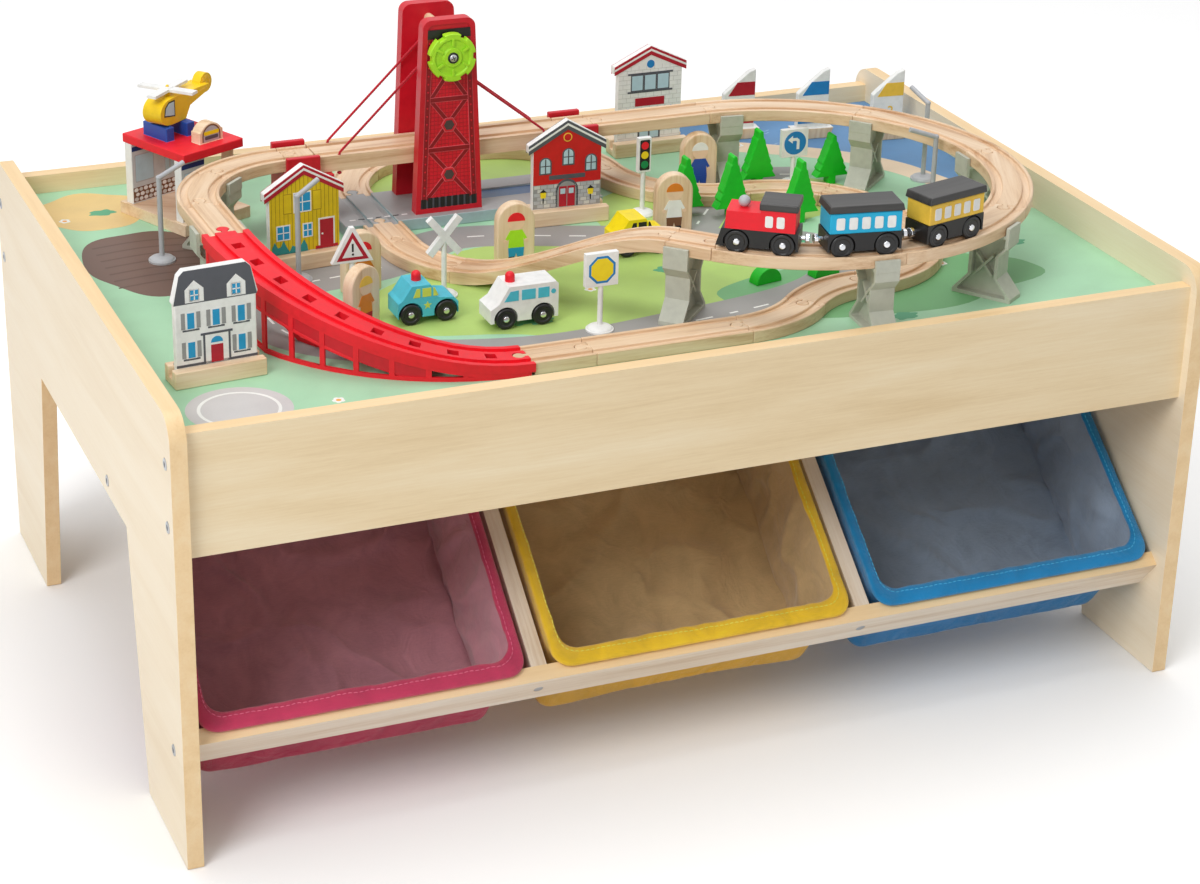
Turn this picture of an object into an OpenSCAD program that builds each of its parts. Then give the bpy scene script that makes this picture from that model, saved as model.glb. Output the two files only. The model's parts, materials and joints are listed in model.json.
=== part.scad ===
// Train table: a tray table with three lift-out fabric bins and a two-level wooden railway.
// Millimetres. X runs along the table, -Y is the bin side, Z is up from the floor.

/* [Table frame] */
// Length over the two end panels
table_l = 1000; // [980:5:1100]
// Depth of the end panels
table_d = 690; // [680:5:760]
// Height of the end panels
panel_h = 428; // [418:1:460]
// Thickness of the end panels
panel_t = 15; // [12:1:20]
// Radius of the panels' top corners
corner_r = 25; // [10:1:40]
// Width of a leg at the floor
leg_foot = 132; // [110:1:150]
// Width of a leg at the top of the arch
leg_top = 172; // [150:1:190]
// Height of the arch between the legs
arch_h = 252; // [220:1:270]
// Height of the top edge of the long rails
rail_top = 410; // [400:1:420]
// Height of the long rails
rail_h = 114; // [100:1:125]
// Thickness of the long rails
rail_t = 15; // [12:1:18]
// Setback of the long rails from the panels' edges
rail_setback = 10; // [4:1:14]
// Thickness of the play board
board_t = 6; // [4:1:10]
// Depth of the tray above the play board
tray_depth = 19; // [15:1:26]
// Side of the square bearers under the play board
bearer = 18; // [12:1:22]
// Diameter of a panel bolt's head
bolt_head_d = 11; // [9:1:14]
// Diameter of a panel bolt's shank
bolt_d = 6; // [5:1:8]
// Length of a panel bolt
bolt_l = 55; // [45:1:70]

/* [Bin rack] */
// Slope of the rack that carries the bins
rack_tilt = 38; // [30:1:42]
// Length of the rack along its slope
rack_l = 280; // [270:1:300]
// Height of the rack's front top edge above the floor
rack_z = 114; // [108:1:124]
// Distance of the rack's front edge from the panels' front edge
rack_inset = 13; // [8:1:20]
// Height of the rack's rails and dividers
rack_h = 40; // [34:1:46]
// Thickness of the rack's rails and dividers
rack_t = 15; // [12:1:18]
// Diameter of a rack screw's head
screw_head_d = 9; // [7:1:11]
// Diameter of a rack screw's shank
screw_d = 4; // [3:0.5:5]
// Length of a rack screw
screw_l = 45; // [35:1:60]

/* [Bins] */
// Depth of a bin below its hem
bin_depth = 108; // [90:1:118]
// Thickness of a bin's wall
bin_wall = 3; // [2:0.5:5]
// Draw-in of each bin wall at the floor of the bin
bin_taper = 9; // [4:1:14]
// Gap between a bin's wall and the rack
bin_gap = 5.5; // [4.5:0.5:8]
// Height of the sewn hem above the rack
hem_h = 7; // [5:0.5:10]
// Overlap of the hem on the rack's two rails
hem_lap = 8; // [5:0.5:11]
// Corner radius of a bin
bin_r = 16; // [10:1:24]

/* [Track] */
// Width of the track
track_w = 40; // [38:0.5:42]
// Height of the track
track_h = 12; // [11:0.5:14]
// Width of a wheel groove
groove_w = 7; // [6.6:0.1:7.4]
// Depth of a wheel groove
groove_d = 3; // [2:0.5:4]
// Distance between the middles of the two grooves
gauge = 26; // [25:0.5:27]
// Centre radius of a small curve
curve_small = 110; // [108:1:112]
// Centre radius of a large curve
curve_large = 212; // [209:1:214]
// Height of the upper track's underside above the board
rise = 66; // [62:1:72]
// Length of the wavy ramp
wave_l = 215; // [205:1:220]
// Width of a joining peg's neck
peg_neck = 5; // [4:0.5:6]
// Length of a joining peg's neck
peg_l = 8; // [7:0.5:10]
// Diameter of a joining peg's head
peg_d = 11; // [9:0.5:12]
// Clearance round a joining peg
peg_gap = 0.4; // [0.3:0.1:0.8]

/* [Piers] */
// Width of a pier's foot across the track
pier_foot = 60; // [52:1:66]
// Width of a pier's neck
pier_neck = 30; // [24:1:36]
// Thickness of a pier along the track
pier_t = 24; // [18:1:28]
// Thickness of the lips that hold the track
pier_lip = 3.6; // [3:0.2:5]

/* [Lift bridge] */
// Depth of the bridge base across the track
base_d = 86; // [82:1:88]
// Width of a pylon at its foot
pylon_foot = 70; // [64:1:76]
// Width of a pylon at its top
pylon_top = 54; // [50:1:60]
// Height of the pylons above the board
pylon_h = 210; // [200:1:225]
// Thickness of a pylon
pylon_t = 13; // [11:1:15]
// Height of the winding axle above the board
axle_z = 174; // [165:1:182]
// Diameter of the winding axle
axle_d = 12; // [10:0.5:14]
// Diameter of the winding knob
knob_d = 48; // [40:1:52]
// Thickness of the winding knob
knob_t = 11; // [8:1:14]
// Width of a lifting deck
deck_w = 44; // [43:0.5:46]
// Thickness of a lifting deck
deck_t = 16; // [14:1:18]
// Reach of a lifting deck from its pivot
deck_l = 120; // [110:1:126]
// Diameter of a deck's pivot pins
pivot_d = 5; // [4:0.5:6]
// Diameter of the lifting cords
cord_d = 2.6; // [2:0.2:3.2]

/* [Train] */
// Length of a train car
car_l = 74; // [68:1:78]
// Width of a train car's body
car_w = 31; // [28:0.5:34]
// Diameter of a train wheel
wheel_d = 22; // [20:0.5:24]
// Thickness of a train wheel
wheel_t = 4.6; // [4:0.1:4.8]
// Distance between a train car's two axles
wheelbase = 42; // [38:1:46]
// Distance between the middles of two coupled cars
car_pitch = 90; // [88:1:96]
// Diameter of every vehicle axle
vehicle_axle_d = 3; // [2.5:0.1:3.5]
// Diameter of a coupling magnet
magnet_d = 9; // [7:0.5:11]

/* [Road vehicles] */
// Length of the short cars
auto_l = 58; // [54:1:62]
// Length of the van
van_l = 66; // [62:1:70]
// Width of a road vehicle
auto_w = 30; // [28:0.5:33]
// Diameter of a road wheel
tyre_d = 20; // [18:0.5:22]
// Thickness of a road wheel
tyre_t = 6; // [5:0.5:7]
// Diameter of a roof beacon
beacon_d = 9; // [7:0.5:11]

/* [Scenery] */
// Thickness of the flat house fronts
front_t = 8; // [6:0.5:10]
// Height of the slotted blocks under the house fronts
block_h = 16; // [14:1:20]
// Depth of the slotted blocks
block_d = 28; // [24:1:32]
// Height of a wooden figure
figure_h = 60; // [50:1:66]
// Width of a wooden figure
figure_w = 38; // [32:1:42]
// Thickness of a wooden figure
figure_t = 12; // [8:1:14]
// Height of the tallest fir tree
tree_h = 66; // [58:1:70]
// Thickness of a fir tree
tree_t = 13; // [10:1:16]
// Diameter of sign and lamp posts
post_d = 5; // [4:0.5:6]
// Diameter of sign and lamp feet
foot_d = 26; // [22:1:28]
// Height of a sign up to its plate's middle
sign_h = 60; // [54:1:66]
// Height of a street lamp
lamp_h = 92; // [80:1:100]

/* [Hidden] */
$fn = 40;

// A hair more than a face, so that a cut goes through it
eps = 1;
// Clearance of a piece that is seated but not fixed
seat = 0.3;
// Clearance of a shaft in its hole, on the diameter
run = 0.5;
// Half of the hairline joint between two pieces of track
joint = 0.15;
// Overlap of a peg's neck with its own piece
peg_root = 1;
// Smallest clearance of a shank or a slot round what it holds
snug = 0.4;

// Places of the frame's pieces
half_l = table_l / 2;
half_d = table_d / 2;
inner_x = half_l - panel_t;
rail_y = half_d - rail_setback - rail_t / 2;
inner_y = rail_y - rail_t / 2;
rail_low = rail_top - rail_h;
board_top = rail_top - tray_depth;
board_low = board_top - board_t;
upper_low = board_top + rise;
upper_top = upper_low + track_h;
bolt_inset = 28;

// Places in the sloping rack: along its slope and square to it
function rack_point(along, above) = [
    -half_d + rack_inset + along * cos(rack_tilt) - above * sin(rack_tilt),
    rack_z + along * sin(rack_tilt) + above * cos(rack_tilt)];
bay_w = (2 * inner_x - 2 * rack_t) / 3;
bay_pitch = bay_w + rack_t;
divider_x = bay_pitch / 2;
// A bag hangs forward from its tilted hem, as far as the front rail lets it
bin_lean = (bin_gap - 3 * seat) * bin_depth / rack_h;

// A table smaller than the set's own gets a set made smaller to match
set_l = 1000;
set_d = 690;
set_scale = min(1, table_l / set_l, table_d / set_d);

// Middles of the bolts in each end panel, as depth and height
bolt_points = concat(
    [for (side = [-1, 1]) for (drop = [bolt_inset, rail_h - bolt_inset]) [side * rail_y, rail_top - drop]],
    [rack_point(rack_t / 2, -rack_h / 2), rack_point(rack_l - rack_t / 2, -rack_h / 2)]);

// The railway's plan: the large loop, its ramps, and the lower circuit that closes it
upper_y = 141;
loop_x = 195.5;
loop_y = upper_y - curve_large;
exit_l = 45;
wave_dir = [-sqrt(0.5), sqrt(0.5)];
loop_exit = [loop_x, loop_y] + curve_large * [wave_dir[0], -wave_dir[1]];
wave_high = loop_exit + exit_l * wave_dir;
wave_low = wave_high + wave_l * wave_dir;
low_x = wave_low[0] - curve_small * (1 - sqrt(0.5));
low_y = wave_low[1] + curve_small * sqrt(0.5);
short_l = 54;
base_y = low_y + short_l;
bend_y = base_y + base_d;
back_l = 52;
west_x = low_x + curve_small;
east_x = west_x + back_l;
inner_cx = east_x + 2 * curve_small;
ramp_x = -368;
ramp_cx = ramp_x + curve_large;
front_y = -260;
ramp_cy = front_y + curve_large;
front_joint = -97;
s_reach = curve_small * sqrt(0.5);
s_drop = curve_small * (1 - sqrt(0.5));
front_end = inner_cx - 2 * s_reach;
right_low = front_y + 2 * s_drop;
right_high = bend_y - curve_small;
left_cx = ramp_x + curve_small;
left_cy = upper_y - curve_small;

// The bridge's places
tower_x = -97;
pylon_gap = deck_w + 4;
pylon_y = pylon_gap / 2 + pylon_t / 2;
pivot_x = 10;
pivot_z = upper_top - deck_t / 2;
deck_end = pivot_x + deck_l;
landing_lap = 14;
// Gap at a deck's far end, for the swing of its lower corner
deck_gap = 0.8;
landing_l = 48;
cord_x = deck_end - 22;
cord_y = deck_w / 2 - 2.8;
axle_h = board_top + axle_z;
base_x0 = -208;
base_x1 = 66;

// The train's places on the loop
loop_deg = car_pitch / curve_large * 180 / PI;
train_deg = 260;
axle_reach = wheelbase / 2;
car_radius = sqrt(curve_large * curve_large - axle_reach * axle_reach);
wheel_z = upper_top - groove_d + seat + wheel_d / 2;
chassis_low = upper_top + 4;
chassis_top = chassis_low + 17;
body_top = chassis_top + 20;
roof_t = 7;

// The road vehicles' places: middle in X and Y
police_at = [-204, -122];
ambulance_at = [-125, -160];
taxi_at = [50, -30];
tyre_z = board_top + seat + tyre_d / 2;

// Where the scenery stands, as X and Y, some with a turn in degrees
heliport_at = [-338, 212, 25];
white_house_at = [-418, -190, 5];
yellow_house_at = [-268, 40, 6];
red_house_at = [15, 72, -3];
hospital_at = [178, 240, 0];
sign_feet = [[-63, -204], [-258, -79], [280, 94], [-168, -78], [95, 62]];
lamp_feet = [[-392, 96, 20], [-284, 4, 30], [418, 62, 100], [372, -38, 170]];
tree_feet = [[134, 44, 0.96], [178, 28, 1], [243, 102, 0.94], [237, -8, 1], [320, 86, 0.82]];
bush_feet = [[133, -146], [194, -148]];
figure_feet = [[-73, -14, -4], [-237, -40, 8], [-264, -124, 30], [106, 12, -8], [182, 118, -6]];
boat_feet = [[290, 250], [368, 226], [444, 196]];

// Turned tubes and rods

module rod_x(d, x0, x1) {
    translate([x0, 0, 0]) rotate([0, 90, 0]) cylinder(d = d, h = x1 - x0);
}

module rod_y(d, y0, y1) {
    translate([0, y0, 0]) rotate([-90, 0, 0]) cylinder(d = d, h = y1 - y0);
}

// Sweeps a section in Y and Z along X
module along_x(l) {
    rotate([90, 0, 90]) linear_extrude(l) children();
}

// Stands an outline in X and Z upright, with its thickness centred on Y
module upright(t) {
    translate([0, t / 2, 0]) rotate([90, 0, 0]) linear_extrude(t) children();
}

module in_rack() {
    translate([0, -half_d + rack_inset, rack_z]) rotate([rack_tilt, 0, 0]) children();
}

module toy_set() {
    translate([0, 0, board_top]) scale(set_scale) translate([0, 0, -board_top]) children();
}

module rounded_plan(l, w, r) {
    for (x = [-1, 1]) for (y = [-1, 1]) translate([x * (l / 2 - r), y * (w / 2 - r)]) circle(r, $fn = 32);
}

// Table frame

module panel_outline() {
    difference() {
        union() {
            translate([-half_d, 0]) square([table_d, panel_h - corner_r]);
            translate([-half_d + corner_r, 0]) square([table_d - 2 * corner_r, panel_h]);
            for (side = [-1, 1]) translate([side * (half_d - corner_r), panel_h - corner_r]) circle(corner_r);
        }
        polygon([[-half_d + leg_foot, -eps], [-half_d + leg_top, arch_h],
            [half_d - leg_top, arch_h], [half_d - leg_foot, -eps]]);
    }
}

module end_panel(side) {
    difference() {
        translate([side > 0 ? inner_x : -half_l, 0, 0]) along_x(panel_t) panel_outline();
        panel_bolt_set(side, snug);
    }
}

module left_end_panel() color("wheat") end_panel(-1);
module right_end_panel() color("wheat") end_panel(1);

bolt_head_t = 3;
module panel_bolt_set(side, gap) {
    for (p = bolt_points) translate([side * half_l, p[0], p[1]]) mirror([side > 0 ? 1 : 0, 0, 0]) {
        rod_x(bolt_head_d + gap, 0, bolt_head_t + gap / 2);
        rod_x(bolt_d + gap, bolt_head_t, bolt_l + gap);
    }
}

module panel_bolts() color("silver") for (side = [-1, 1]) panel_bolt_set(side, 0);

module long_rail(side) {
    difference() {
        translate([-inner_x, side * rail_y - rail_t / 2, rail_low]) cube([2 * inner_x, rail_t, rail_h]);
        for (end = [-1, 1]) panel_bolt_set(end, snug);
    }
}

module front_rail() color("wheat") long_rail(-1);
module back_rail() color("wheat") long_rail(1);

module play_board() color("mediumseagreen")
    translate([-inner_x, -inner_y, board_low]) cube([2 * inner_x, 2 * inner_y, board_t]);

module board_bearers() color("burlywood") {
    for (side = [-1, 1]) translate([-inner_x, side * (inner_y - bearer / 2) - bearer / 2, board_low - bearer])
        cube([2 * inner_x, bearer, bearer]);
    for (x = [-inner_x, -bearer / 2, inner_x - bearer])
        translate([x, -inner_y + bearer + seat, board_low - bearer])
            cube([bearer, 2 * (inner_y - bearer - seat), bearer]);
}

// Bin rack

module rack_rail(along) {
    difference() {
        in_rack() translate([-inner_x, along, -rack_h]) cube([2 * inner_x, rack_t, rack_h]);
        for (end = [-1, 1]) panel_bolt_set(end, snug);
        rack_screw_set(snug);
    }
}

module bin_front_rail() color("wheat") rack_rail(0);
module bin_back_rail() color("wheat") rack_rail(rack_l - rack_t);

module bin_dividers() color("wheat") difference() {
    in_rack() for (side = [-1, 1]) translate([side * divider_x - rack_t / 2, rack_t, -rack_h])
        cube([rack_t, rack_l - 2 * rack_t, rack_h]);
    rack_screw_set(snug);
}

screw_head_t = 2.5;
module rack_screw_set(gap) {
    in_rack() for (side = [-1, 1]) for (end = [0, 1])
        translate([side * divider_x, end * rack_l, -rack_h / 2]) mirror([0, end, 0]) {
            rod_y(screw_head_d + gap, 0, screw_head_t + gap / 2);
            rod_y(screw_d + gap, screw_head_t, screw_l + gap);
        }
}

module rack_screws() color("silver") rack_screw_set(0);

// Fabric bins: a bag that hangs below a thick sewn hem, which lies on the rack's rails

module bag(l, w) {
    hull() {
        linear_extrude(hem_h / 2) rounded_plan(l, w, bin_r);
        translate([0, -bin_lean, -bin_depth]) linear_extrude(hem_h / 2)
            rounded_plan(l - 2 * bin_taper, w, bin_r);
    }
}

module fabric_bin(bay) {
    bag_l = bay_w - 2 * bin_gap;
    bag_w = rack_l - 2 * rack_t - 2 * bin_gap;
    inside_l = bag_l - 2 * bin_wall;
    inside_w = bag_w - 2 * bin_wall;
    in_rack() translate([bay * bay_pitch, rack_l / 2, seat]) difference() {
        union() {
            bag(bag_l, bag_w);
            hull() linear_extrude(hem_h) rounded_plan(bag_l, rack_l - 2 * rack_t + 2 * hem_lap, bin_r);
        }
        translate([0, 0, bin_wall]) bag(inside_l, inside_w);
        hull() linear_extrude(hem_h + eps) rounded_plan(inside_l, inside_w, bin_r);
    }
}

module red_bin() color("crimson") fabric_bin(-1);
module yellow_bin() color("gold") fabric_bin(0);
module blue_bin() color("dodgerblue") fabric_bin(1);

// Wooden track: a grooved section with a peg at one end and a socket at the other

module track_section(w = track_w, h = track_h) {
    difference() {
        translate([-w / 2, 0]) square([w, h]);
        for (side = [-1, 1]) translate([side * gauge / 2 - groove_w / 2, h - groove_d])
            square([groove_w, groove_d + eps]);
    }
}

// Points along +X from the end of a piece
module peg(gap = 0) {
    translate([-peg_root, -peg_neck / 2 - gap, -gap])
        cube([peg_l + peg_root, peg_neck + 2 * gap, track_h + 2 * gap]);
    translate([peg_l, 0, -gap]) cylinder(d = peg_d + 2 * gap, h = track_h + 2 * gap);
}

module track_straight(l, has_peg = true, has_socket = true) {
    difference() {
        union() {
            translate([joint, 0, 0]) along_x(l - 2 * joint) track_section();
            if (has_peg) translate([l - joint, 0, 0]) peg();
        }
        if (has_socket) peg(peg_gap);
    }
}

// An arc from a0 to a1; the peg leaves at a1, or at a0 when it is turned round
module track_arc(r, a0, a1, turned = false, has_peg = true, has_socket = true) {
    trim = joint / r * 180 / PI;
    sweep = a1 - a0;
    heading = turned ? -90 : 90;
    rotate(a0) difference() {
        union() {
            rotate(trim) rotate_extrude(angle = sweep - 2 * trim, $fn = 96) translate([r, 0]) track_section();
            if (has_peg) rotate(turned ? trim : sweep - trim) translate([r, 0, 0]) rotate(heading) peg();
        }
        if (has_socket) rotate(turned ? sweep : 0) translate([r, 0, 0]) rotate(heading) peg(peg_gap);
    }
}

module on_board(x, y, turn = 0) {
    translate([x, y, board_top]) rotate(turn) children();
}

module on_upper(x, y, turn = 0) {
    translate([x, y, upper_low]) rotate(turn) children();
}

// In travel order: from the foot of the wavy ramp, round the back, to the foot of the red ramp
module lower_track() color("burlywood") {
    on_board(low_x + curve_small, low_y) track_arc(curve_small, 180, 225, true);
    on_board(low_x, low_y, 90) track_straight(short_l);
    for (a = [135, 90]) on_board(west_x, bend_y) track_arc(curve_small, a, a + 45, true);
    on_board(west_x, bend_y + curve_small) track_straight(back_l);
    for (a = [45, 0]) on_board(east_x, bend_y) track_arc(curve_small, a, a + 45, true);
    for (a = [180, 225]) on_board(inner_cx, bend_y) track_arc(curve_small, a, a + 45);
    for (a = [45, 0]) on_board(inner_cx, right_high - curve_small) track_arc(curve_small, a, a + 45, true);
    on_board(inner_cx + curve_small, right_high - curve_small, -90)
        track_straight(right_high - right_low - 2 * curve_small);
    for (a = [-45, -90]) on_board(inner_cx, right_low + curve_small) track_arc(curve_small, a, a + 45, true);
    on_board(inner_cx, right_low - curve_small) track_arc(curve_small, 90, 135);
    on_board(front_end, front_y + curve_small) track_arc(curve_small, -90, -45, true);
    on_board(front_end, front_y, 180) track_straight(front_end - front_joint);
    on_board(front_joint, front_y, 180) track_straight(front_joint - ramp_cx);
}

// In travel order: from the head of the red ramp, over the bridge, to the head of the wavy ramp
module upper_track() color("burlywood") {
    right_start = tower_x + deck_end + deck_gap;
    on_upper(ramp_x, ramp_cy, 90) track_straight(left_cy - ramp_cy);
    for (a = [135, 90]) on_upper(left_cx, left_cy) track_arc(curve_small, a, a + 45, true);
    on_upper(left_cx, upper_y) track_straight(tower_x - deck_end - deck_gap - left_cx, has_peg = false);
    on_upper(right_start, upper_y) track_straight(landing_l - landing_lap, has_socket = false);
    on_upper(right_start + landing_l - landing_lap, upper_y)
        track_straight(loop_x - right_start - landing_l + landing_lap);
    for (k = [0:4]) on_upper(loop_x, loop_y) track_arc(curve_large, 45 - 45 * k, 90 - 45 * k, true);
    on_upper(loop_exit[0], loop_exit[1], 135) track_straight(exit_l);
}

// The wavy ramp: its side outline is a smooth wave, cut by the two grooves
function ease(t) = t * t * (3 - 2 * t);
wave_steps = 24;
module wave_outline(thick) {
    polygon(concat(
        [for (i = [0:wave_steps]) [wave_l * i / wave_steps, rise * (1 - ease(i / wave_steps))]],
        [for (i = [wave_steps:-1:0]) [wave_l * i / wave_steps, rise * (1 - ease(i / wave_steps)) + thick]]));
}

module wave_slab(y0, y1, thick) {
    translate([0, y1, 0]) rotate([90, 0, 0]) linear_extrude(y1 - y0) wave_outline(thick);
}

module wavy_ramp_track() color("burlywood")
    on_board(wave_high[0], wave_high[1], 135) difference() {
        union() {
            rim = gauge / 2 + groove_w / 2;
            rib = gauge / 2 - groove_w / 2;
            wave_slab(-track_w / 2, track_w / 2, track_h - groove_d);
            for (y = [[-track_w / 2, -rim], [-rib, rib], [rim, track_w / 2]]) wave_slab(y[0], y[1], track_h);
            translate([wave_l, 0, 0]) peg();
        }
        translate([0, 0, rise]) peg(peg_gap);
    }

// The red ramp: a curved deck that comes down a quarter turn, on two open girder walls
ramp_steps = 20;
ramp_w = 44;
ramp_wall = 3;
ramp_floor = 5;
ramp_girder = 26;
ramp_posts = 9;
function ramp_z(t) = rise * (1 - ease(t));
function ramp_foot(t) = max(0, rise - ramp_girder - 2 * rise * t);

// Sweeps a section round the ramp's centre; the section gives radius and height at each step,
// and the cap lists the triangles that close its two ends
box_cap = [[0, 1, 2], [0, 2, 3]];
module ramp_sweep(section, t0 = 0, t1 = 1, cap = box_cap) {
    rings = [for (i = [0:ramp_steps]) let (t = t0 + (t1 - t0) * i / ramp_steps, a = 180 + 90 * t)
        [for (p = section(t)) [p[0] * cos(a), p[0] * sin(a), p[1]]]];
    count = len(rings[0]);
    points = [for (ring = rings) each ring];
    sides = [for (i = [0:ramp_steps - 1]) for (k = [0:count - 1]) let (n = (k + 1) % count)
        each [[count * i + k, count * i + n, count * i + count + k],
            [count * i + n, count * i + count + n, count * i + count + k]]];
    first = [for (c = cap) [c[0], c[2], c[1]]];
    last = [for (c = cap) [for (k = c) count * ramp_steps + k]];
    polyhedron(points, concat(sides, first, last));
}

module ramp_deck() {
    half = ramp_w / 2;
    rim = gauge / 2 + groove_w / 2;
    rib = gauge / 2 - groove_w / 2;
    low = track_h - groove_d - ramp_floor;
    bed = track_h - groove_d;
    plan = [[-half, low], [half, low], [half, track_h], [rim, track_h], [rim, bed], [rib, bed], [rib, track_h],
        [-rib, track_h], [-rib, bed], [-rim, bed], [-rim, track_h], [-half, track_h]];
    right = [[1, 2, 3], [1, 3, 4], [1, 4, 5], [1, 5, 8]];
    left = [[0, 1, 8], [0, 8, 9], [0, 9, 10], [0, 10, 11]];
    rib_cap = [[5, 6, 7], [5, 7, 8]];
    ramp_sweep(function(t) [for (p = plan) [curve_large + p[0], ramp_z(t) + p[1]]],
        cap = concat(right, left, rib_cap));
}

function ramp_box(r0, r1, foot, head) = [[r0, foot], [r1, foot], [r1, head], [r0, head]];
module ramp_wall_girder(r) {
    low = function(t) ramp_z(t) + track_h - groove_d - ramp_floor;
    chord = 4;
    ramp_sweep(function(t) ramp_box(r + 0.2, r + ramp_wall - 0.2, ramp_foot(t),
        min(low(t) + 2, ramp_foot(t) + chord)), 0.004, 0.99);
    ramp_sweep(function(t) ramp_box(r, r + ramp_wall, max(ramp_foot(t) + 0.3, low(t) - chord), low(t) + 3),
        0.006, 0.985);
    for (k = [0:ramp_posts]) let (t = 0.03 + 0.8 * k / ramp_posts)
        rotate(180 + 90 * t) translate([r + 0.4, -2.5, ramp_foot(t) + 1])
            cube([ramp_wall - 0.8, 5, low(t) - ramp_foot(t) + 0.5]);
}

module red_ramp_track() color("red") on_board(ramp_cx, ramp_cy) difference() {
    union() {
        ramp_deck();
        for (u = [-ramp_w / 2 + 0.6, ramp_w / 2 - ramp_wall - 0.6]) ramp_wall_girder(curve_large + u);
        translate([-curve_large, 0, rise]) rotate(90) peg();
    }
    for (k = [1:9]) rotate(180 + 9 * k) translate([curve_large - 5, -5, -eps])
        cube([10, 10, rise + track_h + 2 * eps]);
    translate([0, -curve_large, 0]) rotate(180) peg(peg_gap);
}

// Piers: a ribbed plastic trestle with a saddle that holds the track between two lips

module pier_outline(inset) {
    foot = pier_foot / 2 - inset * 1.6;
    neck = pier_neck / 2 - inset;
    saddle = track_w / 2 + seat + pier_lip - inset;
    low = rise * 0.33;
    high = rise * 0.66;
    toe = 4 + inset / 2;
    flare = high + 10;
    top = rise - inset;
    polygon([[-foot, inset], [foot, inset], [foot, toe], [neck, low], [neck, high], [saddle, flare],
        [saddle, top], [-saddle, top], [-saddle, flare], [-neck, high], [-neck, low], [-foot, toe]]);
}

pier_rim = 3.4;
pier_web = 8;
lip_h = 8;
brace_t = 2.4;
brace_lean = 40;
// On a curve the lips stand off by the bow of the track's edge over the pier's thickness
module pier(curve = 0) {
    bow = curve > 0 ? pier_t * pier_t / 8 / (curve - track_w / 2) : 0;
    lip_y = track_w / 2 + seat + bow;
    difference() {
        translate([-pier_t / 2, 0, 0]) along_x(pier_t) pier_outline(0);
        for (side = [0, 1]) mirror([side, 0, 0]) translate([pier_web / 2, 0, 0])
            along_x(pier_t) pier_outline(pier_rim);
    }
    for (side = [-1, 1]) translate([-pier_t / 2, side * (lip_y + pier_lip / 2) - pier_lip / 2, rise - pier_rim])
        cube([pier_t, pier_lip, lip_h + pier_rim]);
    brace = rise * 0.4;
    for (lean = [-brace_lean, brace_lean]) translate([-pier_t / 2 + 2, 0, rise / 2]) rotate([lean, 0, 0])
        translate([0, -brace_t / 2, -brace / 2]) cube([pier_t - 4, brace_t, brace]);
}

// Piers stand square to the track above them
loop_pier_degs = [265, 305, 0, 42, 83];
module track_piers() color("darkseagreen") {
    for (a = loop_pier_degs) on_board(loop_x + curve_large * cos(a), loop_y + curve_large * sin(a), a + 90)
        pier(curve_large);
    on_board(wave_high[0] - wave_dir[0] * pier_t / 2, wave_high[1] - wave_dir[1] * pier_t / 2, 135) pier();
    on_board(ramp_x, ramp_cy + pier_t, 90) pier();
    on_board(left_cx - curve_small * sqrt(0.5), left_cy + curve_small * sqrt(0.5), 45) pier(curve_small);
}

// Lift bridge

module bridge_base() color("lightslategray") difference() {
    union() {
        translate([base_x0, base_y, board_top]) cube([base_x1 - base_x0, base_d, track_h]);
        on_board(low_x, bend_y, 90) peg();
    }
    for (side = [-1, 1])
        translate([low_x + side * gauge / 2 - groove_w / 2, base_y - eps, board_top + track_h - groove_d])
            cube([groove_w, base_d + 2 * eps, groove_d + eps]);
    on_board(low_x, base_y, 90) peg(peg_gap);
    translate([tower_x + pylon_foot / 2 + 8, base_y + 34, board_top + track_h - 2])
        cube([base_x1 - tower_x - pylon_foot / 2 - 8 + eps, 26, 2 + eps]);
}

pylon_round = 9;
module pylon_outline(inset) {
    foot = pylon_foot / 2 - inset;
    head = pylon_top / 2 - inset;
    top = pylon_h - track_h - inset;
    r = pylon_round - inset / 2;
    polygon(concat([[-foot, inset], [foot, inset]],
        [for (a = [0:15:90]) [head - r + r * cos(a), top - r + r * sin(a)]],
        [for (a = [90:15:180]) [-head + r + r * cos(a), top - r + r * sin(a)]]));
}

pylon_panel = 1.5;
module bridge_pylons() color("crimson") for (side = [-1, 1]) difference() {
    translate([tower_x, upper_y + side * pylon_y, board_top + track_h]) difference() {
        upright(pylon_t) pylon_outline(0);
        translate([0, side * (pylon_t - pylon_panel), 0]) upright(pylon_t) pylon_outline(5);
    }
    translate([tower_x, upper_y, axle_h]) rod_y(axle_d + run, -pylon_y - pylon_t, pylon_y + pylon_t);
    for (end = [-1, 1]) translate([tower_x + end * pivot_x, upper_y, pivot_z])
        rod_y(pivot_d + run, -pylon_y - pylon_t, pylon_y + pylon_t);
}

landing_cheek = 6;
landing_arch = 30;
landing_rim = 4;
module landing(foot) {
    wide = deck_w / 2 + 1;
    ledge = upper_top - deck_t - seat - board_top;
    difference() {
        union() {
            translate([0, -wide - landing_cheek, foot])
                cube([landing_l, 2 * (wide + landing_cheek), ledge - foot]);
            translate([landing_lap + deck_gap, -track_w / 2, foot])
                cube([landing_l - landing_lap - deck_gap, track_w, rise - foot]);
            for (side = [-1, 1])
                translate([landing_lap, side * (wide + landing_cheek / 2) - landing_cheek / 2, foot])
                    cube([landing_l - landing_lap, landing_cheek, rise + track_h + landing_rim - foot]);
        }
        translate([-eps, -landing_arch / 2, foot - eps])
            cube([landing_l + 2 * eps, landing_arch, landing_arch - foot + eps]);
        translate([0, 0, landing_arch]) rod_x(landing_arch, -eps, landing_l + eps);
    }
}

// The left landing stands on the board and the right one on the bridge base
module bridge_landings() color("red") for (end = [-1, 1])
    translate([tower_x + end * (deck_end - landing_lap), upper_y, board_top]) mirror([end < 0 ? 1 : 0, 0, 0])
        landing(end < 0 ? 0 : track_h);

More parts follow.
